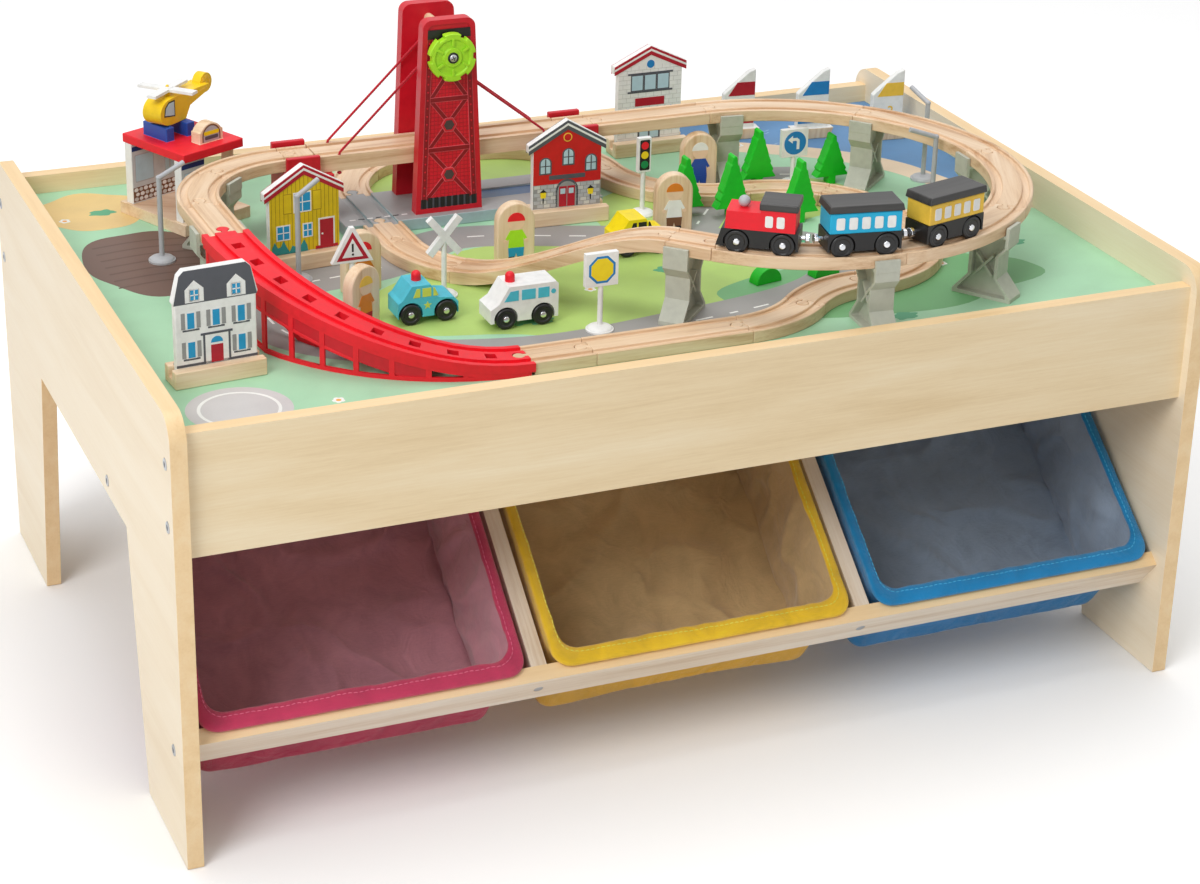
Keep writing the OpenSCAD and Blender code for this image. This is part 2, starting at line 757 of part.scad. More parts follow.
module winding_axle() color("burlywood")
    translate([tower_x, upper_y, axle_h])
        rod_y(axle_d, -pylon_y - pylon_t / 2 - knob_t * 0.7, pylon_y + pylon_t / 2 - 2);

knob_notches = 6;
notch_w = 7;
module knob_body() {
    difference() {
        union() {
            rod_y(knob_d, -knob_t, -2);
            rod_y(knob_d * 0.5, -3, 0);
        }
        rod_y(axle_d + seat, -knob_t * 0.7, eps);
        for (k = [0:knob_notches - 1]) rotate([0, 360 / knob_notches * k, 0])
            translate([knob_d / 2 - 3, -knob_t - eps, -notch_w / 2]) cube([4, knob_t + 2 * eps, notch_w]);
        difference() {
            rod_y(knob_d - 12, -knob_t - eps, -knob_t + 1.5);
            rod_y(knob_d * 0.4, -knob_t - 2 * eps, -knob_t + 2);
        }
    }
}

module winding_knob() color("greenyellow")
    translate([tower_x, upper_y - pylon_y - pylon_t / 2 - seat, axle_h]) knob_body();

// A deck reaches from its pivot to its landing, with a round heel that clears the other deck
module lift_deck(end) {
    translate([tower_x + end * pivot_x, upper_y, pivot_z]) mirror([end < 0 ? 1 : 0, 0, 0]) difference() {
        union() {
            translate([0, 0, -deck_t / 2]) along_x(deck_l) track_section(deck_w, deck_t);
            intersection() {
                translate([-deck_t / 2, 0, -deck_t / 2]) along_x(deck_t) track_section(deck_w, deck_t);
                rod_y(deck_t, -deck_w / 2, deck_w / 2);
            }
            rod_y(pivot_d, -pylon_gap / 2 - pylon_t * 0.7, pylon_gap / 2 + pylon_t * 0.7);
        }
        for (side = [-1, 1]) translate([cord_x - pivot_x, side * cord_y, -deck_t])
            cylinder(d = cord_d + 0.8, h = 2 * deck_t);
    }
}

module left_deck() color("burlywood") lift_deck(-1);
module right_deck() color("burlywood") lift_deck(1);

// Two cords a deck: taut from the axle to the deck's far end, then down through it to a knot.
// They wind the same way, so one deck's leave over the axle and the other's under it.
knot_d = 5;
module lift_cords(end) {
    wrap = axle_d / 2 + cord_d / 2 + seat;
    to = [end * cord_x, upper_top + cord_d / 2 + seat - axle_h];
    touch = atan2(to[1], to[0]) - acos(wrap / norm(to));
    taut = to - wrap * [cos(touch), sin(touch)];
    knot = upper_top - deck_t - knot_d / 2 - seat - axle_h;
    for (side = [-1, 1]) translate([tower_x, upper_y + side * cord_y, axle_h]) {
        translate([to[0] - taut[0], 0, to[1] - taut[1]]) rotate([0, atan2(taut[0], taut[1]), 0])
            cylinder(d = cord_d, h = norm(taut));
        translate([to[0], 0, to[1]]) sphere(d = cord_d + 0.4);
        translate([to[0], 0, knot]) cylinder(d = cord_d, h = to[1] - knot);
        translate([to[0], 0, knot]) sphere(d = knot_d);
    }
}

module left_cords() color("crimson") lift_cords(-1);
module right_cords() color("crimson") lift_cords(1);

// Train: each car is built with its nose along -Y, then set on the loop

module on_loop(car) {
    translate([loop_x, loop_y, 0]) rotate(train_deg + car * loop_deg) translate([car_radius, 0, 0]) children();
}

module side_view(w) {
    translate([-w / 2, 0, 0]) along_x(w) children();
}

// The engine's chassis runs out to a sloping nose at its foot
module chassis(nose = 0) {
    end = car_l / 2 - 2;
    difference() {
        side_view(car_w - 1)
            polygon([[-end - nose, chassis_low], [end, chassis_low], [end, chassis_top], [-end, chassis_top]]);
        for (end = [-1, 1]) translate([0, end * axle_reach, wheel_z]) {
            rod_x(vehicle_axle_d + run, -car_w, car_w);
            for (side = [-1, 1]) mirror([side < 0 ? 1 : 0, 0, 0])
                rod_x(wheel_d + 2.4, gauge / 2 - wheel_t / 2 - 1, car_w);
        }
    }
}

module train_chassis() color("dimgray") {
    on_loop(-1) chassis(nose = 5);
    for (car = [0, 1]) on_loop(car) chassis();
}

cab_l = 32;
dome_d = 11;
module engine_body() color("red") on_loop(-1) {
    back = car_l / 2 - 5;
    cab = back - cab_l;
    boiler_top = body_top - 3;
    dome_y = -car_l / 2 + 20;
    side_view(car_w) polygon([[-back, chassis_top], [back, chassis_top], [back, body_top], [cab, body_top],
        [cab, boiler_top], [-back + 1, boiler_top]]);
    translate([0, dome_y, boiler_top]) cylinder(d = dome_d / 2, h = 3);
    translate([0, dome_y, body_top + 2]) sphere(d = dome_d);
}

module coach_body() {
    end = car_l / 2 - 3;
    side_view(car_w) polygon([[-end, chassis_top], [end, chassis_top], [end, body_top], [-end, body_top]]);
}

module blue_coach_body() color("deepskyblue") on_loop(0) coach_body();
module yellow_coach_body() color("gold") on_loop(1) coach_body();

module train_roofs() color("dimgray") {
    roof_w = car_w + 3;
    roof_top = body_top + roof_t;
    low_end = car_l / 2 - 1;
    high_end = low_end - 2;
    on_loop(-1) translate([-roof_w / 2, low_end - cab_l - 5, body_top]) cube([roof_w, cab_l + 3, roof_t]);
    for (car = [0, 1]) on_loop(car) side_view(roof_w)
        polygon([[-low_end, body_top], [low_end, body_top], [high_end, roof_top], [-high_end, roof_top]]);
}

// A magnet at each coupled end, on a pin let into the chassis
magnet_t = 4;
module coupling_magnets() color("silver") for (car = [-1:1]) for (end = [-1, 1]) if (car > -1 || end > 0)
    on_loop(car) translate([0, 0, (chassis_low + chassis_top) / 2]) mirror([0, end < 0 ? 1 : 0, 0]) {
        tip = car_pitch / 2 - 1;
        rod_y(4, car_l / 2 - 2, tip - magnet_t + eps);
        rod_y(magnet_d, tip - magnet_t, tip);
    }

// A pair of turned wheels on their axle, lying along X
module wheel_pair(d, t, span) {
    rod_x(vehicle_axle_d, -span / 2 - t / 2, span / 2 + t / 2);
    for (side = [-1, 1]) translate([side * span / 2, 0, 0]) rotate([0, side * 90, 0]) rotate_extrude()
        polygon([[0, -t / 2], [d / 2 - 0.8, -t / 2], [d / 2, -t / 2 + 0.8], [d / 2, t / 2 - 0.8],
            [d / 2 - 0.8, t / 2], [d / 2 - 3, t / 2], [d / 2 - 3.6, t / 2 - 0.8], [3.6, t / 2 - 0.8],
            [2.6, t / 2 + 0.6], [0, t / 2 + 0.9]]);
}

module train_wheels(car, end) {
    on_loop(car) translate([0, end * axle_reach, wheel_z]) wheel_pair(wheel_d, wheel_t, gauge);
}

module engine_front_wheels() color("dimgray") train_wheels(-1, -1);
module engine_rear_wheels() color("dimgray") train_wheels(-1, 1);
module blue_coach_front_wheels() color("dimgray") train_wheels(0, -1);
module blue_coach_rear_wheels() color("dimgray") train_wheels(0, 1);
module yellow_coach_front_wheels() color("dimgray") train_wheels(1, -1);
module yellow_coach_rear_wheels() color("dimgray") train_wheels(1, 1);

// Road vehicles: side outlines along X, sawn from a block, with arches for the wheels

auto_base = 34;
van_base = 36;
auto_h = 38;
van_h = 41;
sill = 7;
tyre_span = auto_w - tyre_t + 2;

module vehicle(base) {
    difference() {
        upright(auto_w) children();
        for (end = [-1, 1]) translate([end * base / 2, 0, tyre_z - board_top]) {
            rod_y(vehicle_axle_d + run, -auto_w, auto_w);
            for (side = [0, 1]) mirror([0, side, 0])
                rod_y(tyre_d + 3, tyre_span / 2 - tyre_t / 2 - 1, auto_w);
        }
    }
}

module auto_outline() {
    h = auto_l / 2;
    polygon([[-h, sill], [h, sill], [h, 18], [h - 5, 23], [h - 20, 25], [h - 27, auto_h], [-h + 13, auto_h],
        [-h + 4, 25], [-h, 22]]);
}

module van_outline() {
    h = van_l / 2;
    polygon([[-h, sill], [h, sill], [h, 20], [h - 8, 25], [h - 18, van_h], [-h + 2, van_h], [-h, van_h - 2]]);
}

module beacon(x, z) {
    translate([x, 0, z - eps]) cylinder(d = beacon_d, h = 5 + eps);
    translate([x, 0, z + 5]) sphere(d = beacon_d);
}

module police_car_body() color("skyblue") on_board(police_at[0], police_at[1]) {
    vehicle(auto_base) auto_outline();
    beacon(-7, auto_h);
}

module ambulance_body() color("white") on_board(ambulance_at[0], ambulance_at[1]) {
    vehicle(van_base) van_outline();
    beacon(-6, van_h);
}

module taxi_body() color("gold") on_board(taxi_at[0], taxi_at[1]) {
    vehicle(auto_base) auto_outline();
}

module road_wheels(at, base, end) {
    translate([at[0] + end * base / 2, at[1], tyre_z]) rotate(90) wheel_pair(tyre_d, tyre_t, tyre_span);
}

module police_car_front_wheels() color("dimgray") road_wheels(police_at, auto_base, 1);
module police_car_rear_wheels() color("dimgray") road_wheels(police_at, auto_base, -1);
module ambulance_front_wheels() color("dimgray") road_wheels(ambulance_at, van_base, 1);
module ambulance_rear_wheels() color("dimgray") road_wheels(ambulance_at, van_base, -1);
module taxi_front_wheels() color("dimgray") road_wheels(taxi_at, auto_base, 1);
module taxi_rear_wheels() color("dimgray") road_wheels(taxi_at, auto_base, -1);

// Heliport: two printed walls and a post on a wooden base carry the landing deck

heli_base_l = 84;
heli_base_w = 100;
heli_base_t = 12;
heli_wall_h = 62;
heli_deck_t = 9;
heli_deck_z = heli_base_t + heli_wall_h + 0.05;

module at_heliport() {
    on_board(heliport_at[0], heliport_at[1], heliport_at[2]) children();
}

heli_let = 5;
heli_rim = 4;
heli_hut_l = 30;
heli_post_d = 12;
heli_wall_t = 10;
module heli_uprights(gap) {
    low = heli_base_t - heli_let;
    tall = heli_wall_h + heli_let;
    side_x = -heli_base_l / 2 + heli_rim - gap;
    thick = heli_wall_t + 2 * gap;
    translate([side_x, heli_base_w / 2 - 16 - gap, low]) cube([-2 * side_x, thick, tall]);
    translate([side_x, -heli_base_w / 2 + 8 - gap, low]) cube([heli_hut_l + 2 * gap, thick, tall]);
    translate([heli_base_l / 2 - 14, -heli_base_w / 2 + 16, low]) cylinder(d = heli_post_d + 2 * gap, h = tall);
}

module heliport_building() color("white") at_heliport() {
    difference() {
        translate([-heli_base_l / 2, -heli_base_w / 2, 0]) cube([heli_base_l, heli_base_w, heli_base_t]);
        heli_uprights(0.2);
    }
    translate([0, 0, 0.05]) heli_uprights(0);
}

skid_h = 14;
cabin_r = 15;
module heliport_deck() color("red") at_heliport() translate([0, 0, heli_deck_z]) {
    translate([-heli_base_l / 2 + heli_rim, -heli_base_w / 2 + 3, 0])
        cube([heli_base_l - 2 * heli_rim, heli_base_w - 6, heli_deck_t]);
    for (x = [-25, 1]) translate([x, -6, heli_deck_t - eps]) cube([10, 36, skid_h + eps]);
    translate([8, -28, heli_deck_t - eps]) upright(13) {
        translate([-cabin_r, 0]) square([2 * cabin_r, cabin_r - 2]);
        intersection() {
            translate([0, 6]) circle(cabin_r);
            translate([-cabin_r, cabin_r - 3]) square([2 * cabin_r, cabin_r]);
        }
    }
}

heli_at = [-7, 12];
heli_floor = heli_deck_z + heli_deck_t + skid_h + seat;
heli_tail = 54;
heli_w = 22;
heli_h = 27;
tail_disc_d = 20;
module at_helicopter(z) {
    at_heliport() translate([heli_at[0], heli_at[1], z]) children();
}

mast_h = 4;
rotor_pin_d = 3;
rotor_t = 4;
module helicopter_body() color("yellow") at_helicopter(heli_floor) rotate(14) {
    upright(heli_w) polygon(concat(
        [[-6, 0], [14, 0], [22, 12], [heli_tail, 20], [heli_tail, 26], [20, heli_h], [-8, heli_h]],
        [for (a = [110:14:250]) [-10 + 17 * cos(a), heli_h / 2 + heli_h / 2 * sin(a)]]));
    translate([heli_tail + 3, 0, 25]) rod_y(tail_disc_d, -5, 5);
    translate([0, 0, heli_h - eps]) cylinder(d = 2 * rotor_pin_d, h = mast_h + eps);
    translate([0, 0, heli_h]) cylinder(d = rotor_pin_d, h = mast_h + seat + rotor_t + 1.5);
}

rotor_z = heli_floor + heli_h + mast_h + seat;
rotor_l = 62;
module helicopter_rotor() color("white") at_helicopter(rotor_z) difference() {
    union() {
        cylinder(d = 11, h = rotor_t);
        for (a = [0, 90]) rotate(a + 20) translate([-rotor_l / 2, -5, 0]) cube([rotor_l, 10, rotor_t - 1]);
    }
    translate([0, 0, -eps]) cylinder(d = rotor_pin_d + run, h = rotor_t + 2 * eps);
}

// Flat house fronts stand in slotted wooden blocks

slot_d = 9;
// Width, height of the walls and height of the ridge of each front
white_house = [74, 66, 98];
yellow_house = [72, 72, 96];
red_house = [72, 76, 100];
hospital = [74, 92, 112];
house_eave = 5;
block_l = 84;

module front_at(at) {
    on_board(at[0], at[1], at[2]) translate([0, 0, block_h - slot_d]) upright(front_t) children();
}

module gable(house) {
    half = house[0] / 2;
    wall = house[1];
    out = half + house_eave;
    polygon([[-half, 0], [half, 0], [half, wall - 4], [out, wall - 8], [out, wall], [0, house[2]], [-out, wall],
        [-out, wall - 8], [-half, wall - 4]]);
}

module mansard(house) {
    half = house[0] / 2;
    wall = house[1];
    top = house[2];
    polygon([[-half, 0], [half, 0], [half, wall], [half + 2, wall + 3], [half - 4, top - 5], [half - 9, top],
        [-half + 9, top], [-half + 4, top - 5], [-half - 2, wall + 3], [-half, wall]]);
}

module house_fronts() color("gold") {
    front_at(white_house_at) mansard(white_house);
    front_at(yellow_house_at) gable(yellow_house);
    front_at(red_house_at) gable(red_house);
    front_at(hospital_at) gable(hospital);
}

module slotted_block(l) {
    difference() {
        translate([-l / 2, -block_d / 2, 0]) cube([l, block_d, block_h]);
        translate([-l / 2 - eps, -front_t / 2 - snug / 2, block_h - slot_d])
            cube([l + 2 * eps, front_t + snug, slot_d + eps]);
    }
}

module house_blocks() color("burlywood")
    for (at = [white_house_at, yellow_house_at, red_house_at, hospital_at])
        on_board(at[0], at[1], at[2]) slotted_block(block_l);

// Signs and lamps stand on domed feet

module domed_foot() {
    rotate_extrude() polygon(concat([[0, 0], [foot_d / 2, 0], [foot_d / 2, 2]],
        [for (a = [0:15:75]) [(foot_d / 2 - 1) * cos(a), 2 + 4 * sin(a)]], [[0, 6]]));
}

module signpost(foot, h) {
    on_board(foot[0], foot[1]) {
        domed_foot();
        cylinder(d = post_d, h = h, $fn = 24);
        translate([0, 0, h]) children();
    }
}

sign_t = 6;
module plate(l, h) {
    translate([0, 0, -h / 2]) upright(sign_t) translate([-l / 2, 0]) square([l, h]);
}

cross_l = 46;
low_sign_h = 46;
module traffic_signs() color("white") {
    signpost(sign_feet[0], sign_h) plate(32, 32);
    signpost(sign_feet[1], sign_h) upright(sign_t)
        polygon([[-20, -14], [20, -14], [18, -10], [2, 20], [-2, 20], [-18, -10]]);
    signpost(sign_feet[2], low_sign_h) plate(30, 30);
    signpost(sign_feet[3], sign_h) for (a = [-40, 40]) rotate([0, a, 0]) plate(7, cross_l);
    signpost(sign_feet[4], sign_h) translate([0, 0, 4]) plate(14, 36);
}

lamp_arm = 30;
module street_lamps() color("silver") for (foot = lamp_feet) on_board(foot[0], foot[1], foot[2]) {
    domed_foot();
    cylinder(d = post_d, h = lamp_h - 8, $fn = 24);
    translate([0, 0, lamp_h - 8]) {
        sphere(d = post_d + 0.8, $fn = 24);
        rotate([0, 72, 0]) cylinder(d = post_d, h = lamp_arm, $fn = 24);
    }
}

// Fir trees with sawtooth sides, and half-round bushes, sawn from thick board

tree_teeth = 6;
module fir(h, w) {
    trunk = h * 0.16;
    crown = h - trunk;
    step = crown / tree_teeth;
    right = [for (i = [0:tree_teeth - 1]) let (z = trunk + i * step, half = w / 2 * (1 - i / tree_teeth))
        each [[half, z], [half * 0.76, z + step * 0.8]]];
    left = [for (i = [len(right) - 1:-1:0]) [-right[i][0], right[i][1]]];
    polygon(concat([[-4, 0], [4, 0], [4, trunk]], right, [[0, h]], left, [[-4, trunk]]));
}

bush_r = 15;
module trees_and_bushes() color("limegreen") {
    for (foot = tree_feet) on_board(foot[0], foot[1]) upright(tree_t) fir(tree_h * foot[2], tree_h * 0.58);
    for (foot = bush_feet) on_board(foot[0], foot[1], 12) upright(tree_t) intersection() {
        circle(bush_r);
        translate([-bush_r, 0]) square([2 * bush_r, bush_r]);
    }
}

// Arch-topped wooden figures
module figures() color("wheat") for (foot = figure_feet) on_board(foot[0], foot[1], foot[2]) upright(figure_t) {
    translate([-figure_w / 2, 0]) square([figure_w, figure_h - figure_w / 2]);
    translate([0, figure_h - figure_w / 2]) circle(figure_w / 2);
}

// Sail boats: a flat sail with a raked top on a small wooden hull
boat_w = 36;
boat_h = 78;
hull_h = 12;
hull_d = 16;
sail_t = 8;
module sail_boats() color("white") for (foot = boat_feet) on_board(foot[0], foot[1], -6) {
    half = boat_w / 2;
    sail_h = boat_h - hull_h + eps;
    upright(hull_d) polygon([[-half - 2, 0], [half + 2, 0], [half + 6, hull_h], [-half - 6, hull_h]]);
    translate([0, 0, hull_h - eps]) upright(sail_t) polygon([[-half, 0], [half, 0], [half, sail_h],
        [half - 8, sail_h - 3], [-half + 4, sail_h - 23], [-half, sail_h - 27]]);
}

left_end_panel();
right_end_panel();
front_rail();
back_rail();
play_board();
board_bearers();
bin_front_rail();
bin_back_rail();
bin_dividers();
panel_bolts();
rack_screws();
red_bin();
yellow_bin();
blue_bin();
toy_set() lower_track();
toy_set() upper_track();
toy_set() wavy_ramp_track();
toy_set() red_ramp_track();
toy_set() track_piers();
toy_set() bridge_base();
toy_set() bridge_pylons();
toy_set() bridge_landings();
toy_set() winding_axle();
toy_set() winding_knob();
toy_set() left_deck();
toy_set() right_deck();
toy_set() left_cords();
toy_set() right_cords();
toy_set() train_chassis();
toy_set() train_roofs();
toy_set() engine_body();
toy_set() blue_coach_body();
toy_set() yellow_coach_body();
toy_set() coupling_magnets();
toy_set() engine_front_wheels();
toy_set() engine_rear_wheels();
toy_set() blue_coach_front_wheels();
toy_set() blue_coach_rear_wheels();
toy_set() yellow_coach_front_wheels();
toy_set() yellow_coach_rear_wheels();
toy_set() police_car_body();
toy_set() ambulance_body();
toy_set() taxi_body();
toy_set() police_car_front_wheels();
toy_set() police_car_rear_wheels();
toy_set() ambulance_front_wheels();
toy_set() ambulance_rear_wheels();
toy_set() taxi_front_wheels();
toy_set() taxi_rear_wheels();
toy_set() heliport_building();
toy_set() heliport_deck();
toy_set() helicopter_body();
toy_set() helicopter_rotor();
toy_set() house_fronts();
toy_set() house_blocks();
toy_set() traffic_signs();
toy_set() street_lamps();
toy_set() trees_and_bushes();
toy_set() figures();
toy_set() sail_boats();
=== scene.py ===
import json
import math
import random

import bmesh
import bpy
import numpy as np
from mathutils import Matrix, Vector, noise

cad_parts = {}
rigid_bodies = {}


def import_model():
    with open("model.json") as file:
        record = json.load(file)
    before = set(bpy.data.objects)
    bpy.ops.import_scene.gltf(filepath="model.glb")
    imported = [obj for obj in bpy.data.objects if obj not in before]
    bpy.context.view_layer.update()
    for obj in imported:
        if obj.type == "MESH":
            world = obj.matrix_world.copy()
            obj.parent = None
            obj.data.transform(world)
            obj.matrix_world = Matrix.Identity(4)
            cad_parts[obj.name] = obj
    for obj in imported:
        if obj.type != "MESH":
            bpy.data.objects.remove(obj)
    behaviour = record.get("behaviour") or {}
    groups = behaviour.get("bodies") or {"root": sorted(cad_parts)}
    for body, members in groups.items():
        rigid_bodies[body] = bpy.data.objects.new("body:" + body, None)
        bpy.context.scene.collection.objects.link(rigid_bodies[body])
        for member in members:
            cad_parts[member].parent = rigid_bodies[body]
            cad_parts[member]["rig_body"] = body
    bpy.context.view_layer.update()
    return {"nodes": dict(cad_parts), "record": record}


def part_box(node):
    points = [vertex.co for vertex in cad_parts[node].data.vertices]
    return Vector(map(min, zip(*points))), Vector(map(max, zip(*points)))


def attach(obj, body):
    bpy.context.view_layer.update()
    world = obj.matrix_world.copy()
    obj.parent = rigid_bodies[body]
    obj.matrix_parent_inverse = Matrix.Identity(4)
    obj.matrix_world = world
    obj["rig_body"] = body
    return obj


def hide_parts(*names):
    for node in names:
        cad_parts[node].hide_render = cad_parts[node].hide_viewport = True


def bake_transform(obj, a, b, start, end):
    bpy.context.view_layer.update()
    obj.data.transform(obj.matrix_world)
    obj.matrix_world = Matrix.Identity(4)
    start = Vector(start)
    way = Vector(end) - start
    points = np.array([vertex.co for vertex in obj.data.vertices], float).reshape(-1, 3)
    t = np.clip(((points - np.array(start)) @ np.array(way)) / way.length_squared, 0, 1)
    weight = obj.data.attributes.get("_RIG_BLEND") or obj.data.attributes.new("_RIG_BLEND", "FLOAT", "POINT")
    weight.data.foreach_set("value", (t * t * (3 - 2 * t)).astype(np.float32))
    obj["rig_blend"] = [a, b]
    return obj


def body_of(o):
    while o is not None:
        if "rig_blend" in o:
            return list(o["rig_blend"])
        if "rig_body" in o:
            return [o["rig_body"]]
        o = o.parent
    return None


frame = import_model()
nodes = frame["nodes"]
rng = random.Random(7)

# Levels and places, in millimetres, as in the part's source
MM = 0.001
BOARD = 391
UPPER_TOP = 469
TOWER = (-97, 141)
AXLE = 565
LOOP = (195.5, -71)
CAR_RADIUS = 210.96
CAR_TURNS = (235.68, 260, 284.32)
HELIPORT = (-338, 212, 25)
WHITE_HOUSE = (-418, -190, 5)
YELLOW_HOUSE = (-268, 40, 6)
RED_HOUSE = (15, 72, -3)
HOSPITAL = (178, 240, 0)
FIGURES = ((-73, -14, -4), (-237, -40, 8), (-264, -124, 30), (106, 12, -8), (182, 118, -6))
BOATS = ((290, 250), (368, 226), (444, 196))
POLICE = (-204, -122)
AMBULANCE = (-125, -160)
TAXI = (50, -30)
HALF_LENGTH = 500


# Camera, in metres; its turns are azimuth, elevation and roll

CAMERA_AT = (-0.9847, -2.3445, 1.3643)
CAMERA_TURNS = (23.337, 23.742, 1.442)


def make_camera():
    az, el, roll = (math.radians(a) for a in CAMERA_TURNS)
    look = Vector((math.sin(az) * math.cos(el), math.cos(az) * math.cos(el), -math.sin(el)))
    right = look.cross(Vector((0, 0, 1))).normalized()
    up = right.cross(look)
    x = right * math.cos(roll) + up * math.sin(roll)
    y = up * math.cos(roll) - right * math.sin(roll)
    data = bpy.data.cameras.new("camera")
    data.sensor_fit = "HORIZONTAL"
    data.sensor_width = 36
    data.lens = 83.15
    data.shift_y = -0.05
    data.clip_end = 60
    cam = bpy.data.objects.new("camera", data)
    turn = Matrix((x, y, -look)).transposed().to_4x4()
    cam.matrix_world = Matrix.Translation(CAMERA_AT) @ turn
    bpy.context.scene.collection.objects.link(cam)
    bpy.context.scene.camera = cam


make_camera()


# Materials


def linear(rgb, gain=1.0):
    """A colour written as it looks on screen, as the shader's own value."""
    out = []
    for c in rgb:
        c = min(max(c / 255, 0), 1)
        c = c / 12.92 if c <= 0.04045 else ((c + 0.055) / 1.055) ** 2.4
        out.append(min(c * gain, 1))
    return (*out, 1)


class Shader:
    """A node material in the making. Inputs are named as in Blender, with _ for each space."""

    def __init__(self, name, **inputs):
        self.mat = bpy.data.materials.new(name)
        self.mat.use_nodes = True
        self.tree = self.mat.node_tree
        self.bsdf = self.tree.nodes["Principled BSDF"]
        for key, value in inputs.items():
            self.feed(self.bsdf.inputs[key.replace("_", " ")], value)

    def feed(self, socket, value):
        """Gives an input a number or colour, or links another node's output to it."""
        if isinstance(value, bpy.types.NodeSocket):
            self.tree.links.new(value, socket)
        else:
            socket.default_value = value

    def node(self, kind, **inputs):
        made = self.tree.nodes.new(kind)
        for key, value in inputs.items():
            self.feed(made.inputs[key.replace("_", " ")], value)
        return made

    def place(self):
        return self.node("ShaderNodeTexCoord").outputs["Object"]

    def attribute(self, name):
        made = self.node("ShaderNodeAttribute")
        made.attribute_name = name
        return made.outputs["Vector"]

    def stretch(self, vector, scale):
        return self.node("ShaderNodeMapping", Vector=vector, Scale=scale).outputs["Vector"]

    def noise(self, vector, scale, detail=3.0, distortion=0.0):
        sockets = {"Vector": vector, "Scale": scale, "Detail": detail, "Distortion": distortion}
        return self.node("ShaderNodeTexNoise", **sockets).outputs[0]

    def math(self, kind, a, b):
        made = self.tree.nodes.new("ShaderNodeMath")
        made.operation = kind
        self.feed(made.inputs[0], a)
        self.feed(made.inputs[1], b)
        return made.outputs[0]

    def ramp(self, value, stops):
        made = self.node("ShaderNodeValToRGB", Fac=value)
        band = made.color_ramp
        while len(band.elements) < len(stops):
            band.elements.new(0.5)
        for element, (at, colour) in zip(band.elements, stops):
            element.position = at
            element.color = colour
        return made.outputs["Color"]

    def spread(self, value, low, high):
        """A value from 0 to 1 as one from low to high."""
        return self.node("ShaderNodeMapRange", Value=value, To_Min=low, To_Max=high).outputs[0]

    def bump(self, height, strength, distance):
        made = self.node("ShaderNodeBump", Height=height, Strength=strength, Distance=distance)
        self.link(made.outputs["Normal"], "Normal")

    def link(self, value, socket):
        self.tree.links.new(value, self.bsdf.inputs[socket])

    def mix(self, *parts):
        """The sum of values, each with its share."""
        total = None
        for value, share in parts:
            part = self.math("MULTIPLY", value, share)
            total = part if total is None else self.math("ADD", total, part)
        return total

    def tint(self, value, rgb, stops):
        """The base colour, darker and lighter with a value. Each stop is a place and a gain."""
        self.link(self.ramp(value, [(at, linear(rgb, gain)) for at, gain in stops]), "Base Color")


def wood(name, dark, mid, light, rough=0.42, streak=38.0, contrast=1.0):
    """Straight-grained wood: broad bands, fine streaks and short flecks along each piece's own grain."""
    s = Shader(name, Roughness=rough, Coat_Weight=0.12, Coat_Roughness=0.35)
    along = s.attribute("grain")
    broad = s.noise(s.stretch(along, (3.2, streak, streak)), 1.0, 4.0, 0.5)
    fine = s.noise(s.stretch(along, (16.0, 420.0, 420.0)), 1.0, 3.0, 0.2)
    fleck = s.noise(s.stretch(along, (110.0, 1500.0, 1500.0)), 1.0, 2.0)
    value = s.mix((broad, 0.62), (fine, 0.26), (fleck, 0.12))
    half = 0.15 / contrast
    stops = [(0.5 - half, linear(dark)), (0.5, linear(mid)), (0.5 + half, linear(light))]
    s.link(s.ramp(value, stops), "Base Color")
    s.link(s.spread(fine, rough - 0.1, rough + 0.14), "Roughness")
    s.bump(value, 0.16, 0.0006)
    return s.mat


def paint(name, rgb, rough):
    """Sprayed or moulded colour: a slow drift of shade, faint orange peel and small specks."""
    s = Shader(name, Roughness=rough, Coat_Weight=0.06, Coat_Roughness=0.3, Specular_IOR_Level=0.4)
    at = s.place()
    broad = s.noise(at, 14.0, 4.0, 0.3)
    peel = s.noise(at, 620.0, 2.0)
    speck = s.noise(at, 150.0, 5.0)
    s.tint(s.mix((broad, 0.6), (speck, 0.4)), rgb, ((0.3, 0.84), (0.5, 1), (0.7, 1.1)))
    s.link(s.spread(speck, rough - 0.1, rough + 0.12), "Roughness")
    s.bump(peel, 0.09, 0.0004)
    return s.mat


def printed(name, rgb):
    """Ink on the board's paper face: a soft mottle and the paper's fine tooth."""
    s = Shader(name, Roughness=0.5, Specular_IOR_Level=0.35)
    at = s.place()
    mottle = s.noise(at, 22.0, 5.0, 0.4)
    tooth = s.noise(at, 1400.0, 2.0)
    s.tint(s.mix((mottle, 0.7), (tooth, 0.3)), rgb, ((0.32, 0.92), (0.5, 1), (0.68, 1.06)))
    s.link(s.spread(mottle, 0.42, 0.6), "Roughness")
    s.bump(tooth, 0.05, 0.0002)
    return s.mat


